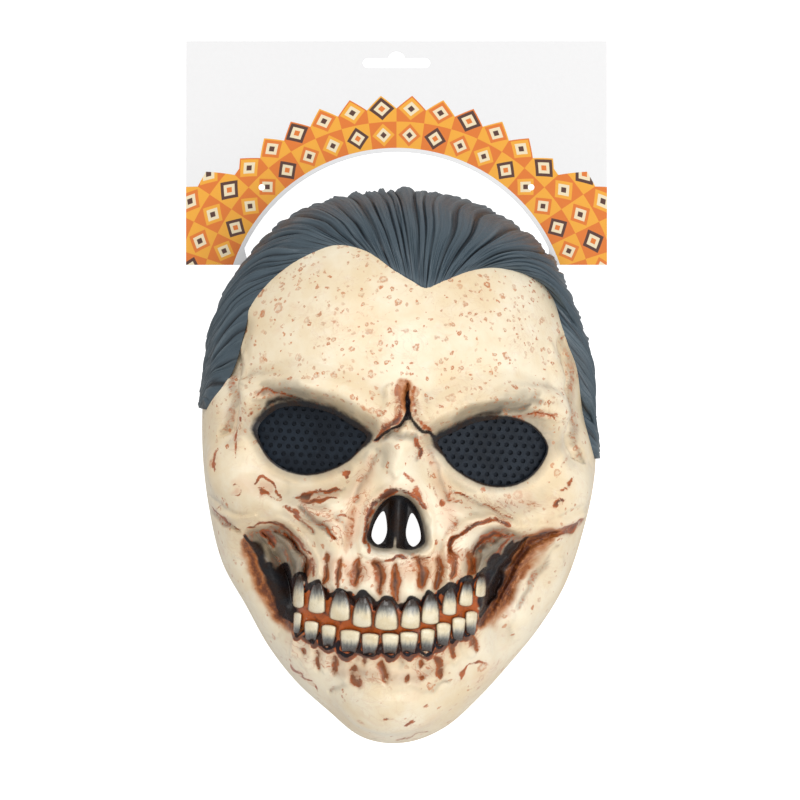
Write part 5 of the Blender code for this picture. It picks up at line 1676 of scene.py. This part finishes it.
class StageSettings(bpy.types.PropertyGroup):
    """Floor, lights and camera."""
    floor_size: FloatProperty(name="Floor", description="Side of the floor", default=8.0, unit="LENGTH")
    ambient: FloatProperty(name="Ambient", description="Strength of the light from all round", default=0.62)
    top_light: FloatProperty(name="Top light", description="Power of the light above the head", default=9.0)
    front_light: FloatProperty(name="Front light", description="Power of the light by the camera",
                               default=15.5)
    side_light: FloatProperty(name="Side light", description="Power of the light on the right", default=4.5)
    lens: FloatProperty(name="Lens", description="Focal length of the camera in millimetres", default=284.2)
    camera_height: FloatProperty(name="Camera height", description="Height of the camera over the floor",
                                 default=3.0, unit="LENGTH")


class SKULLMASK_OT_face(bpy.types.Operator):
    """Build the painted bone face."""
    bl_idname = "skull_mask.face"
    bl_label = "Bone face"

    def execute(self, context):
        make_face(context)
        return {"FINISHED"}


class SKULLMASK_OT_hair(bpy.types.Operator):
    """Build the swept hair."""
    bl_idname = "skull_mask.hair"
    bl_label = "Swept hair"

    def execute(self, context):
        make_hair(context)
        return {"FINISHED"}


class SKULLMASK_OT_teeth(bpy.types.Operator):
    """Build both rows of teeth."""
    bl_idname = "skull_mask.teeth"
    bl_label = "Teeth"

    def execute(self, context):
        make_teeth(context)
        return {"FINISHED"}


class SKULLMASK_OT_eyes(bpy.types.Operator):
    """Build the eye meshes and the gauze behind them."""
    bl_idname = "skull_mask.eyes"
    bl_label = "Eye meshes"

    def execute(self, context):
        make_eyes(context)
        return {"FINISHED"}


class SKULLMASK_OT_card(bpy.types.Operator):
    """Finish the header card."""
    bl_idname = "skull_mask.card"
    bl_label = "Header card"

    def execute(self, context):
        finish_card(context)
        return {"FINISHED"}


class SKULLMASK_OT_stage(bpy.types.Operator):
    """Set up the floor, the lights and the camera."""
    bl_idname = "skull_mask.stage"
    bl_label = "Stage"

    def execute(self, context):
        make_stage(context)
        return {"FINISHED"}


OPERATORS = (SKULLMASK_OT_face, SKULLMASK_OT_hair, SKULLMASK_OT_teeth, SKULLMASK_OT_eyes, SKULLMASK_OT_card,
             SKULLMASK_OT_stage)


class SKULLMASK_PT_panel(bpy.types.Panel):
    """Sizes, colours and pieces of the skull mask."""
    bl_idname = "SKULLMASK_PT_panel"
    bl_label = "Skull Mask"
    bl_space_type = "VIEW_3D"
    bl_region_type = "UI"
    bl_category = "Skull Mask"

    def draw(self, context):
        layout = self.layout
        for operator in OPERATORS:
            layout.operator(operator.bl_idname)
        for settings in (context.scene.skull_mask_sizes, context.scene.skull_mask_colours,
                         context.scene.skull_mask_stage):
            box = layout.box()
            for field in settings.bl_rna.properties:
                if field.identifier not in {"rna_type", "name"}:
                    box.prop(settings, field.identifier)


CLASSES = (MaskSizes, MaskColours, StageSettings) + OPERATORS + (SKULLMASK_PT_panel,)


def register():
    """Add the settings, the operators and the panel."""
    for item in CLASSES:
        bpy.utils.register_class(item)
    bpy.types.Scene.skull_mask_sizes = PointerProperty(type=MaskSizes)
    bpy.types.Scene.skull_mask_colours = PointerProperty(type=MaskColours)
    bpy.types.Scene.skull_mask_stage = PointerProperty(type=StageSettings)


def unregister():
    """Take the settings, the operators and the panel away."""
    del bpy.types.Scene.skull_mask_stage
    del bpy.types.Scene.skull_mask_colours
    del bpy.types.Scene.skull_mask_sizes
    for item in reversed(CLASSES):
        bpy.utils.unregister_class(item)


def main():
    """Build every piece and the stage."""
    register()
    bpy.ops.skull_mask.face()
    bpy.ops.skull_mask.hair()
    bpy.ops.skull_mask.teeth()
    bpy.ops.skull_mask.eyes()
    bpy.ops.skull_mask.card()
    bpy.ops.skull_mask.stage()


if __name__ == "__main__":
    main()
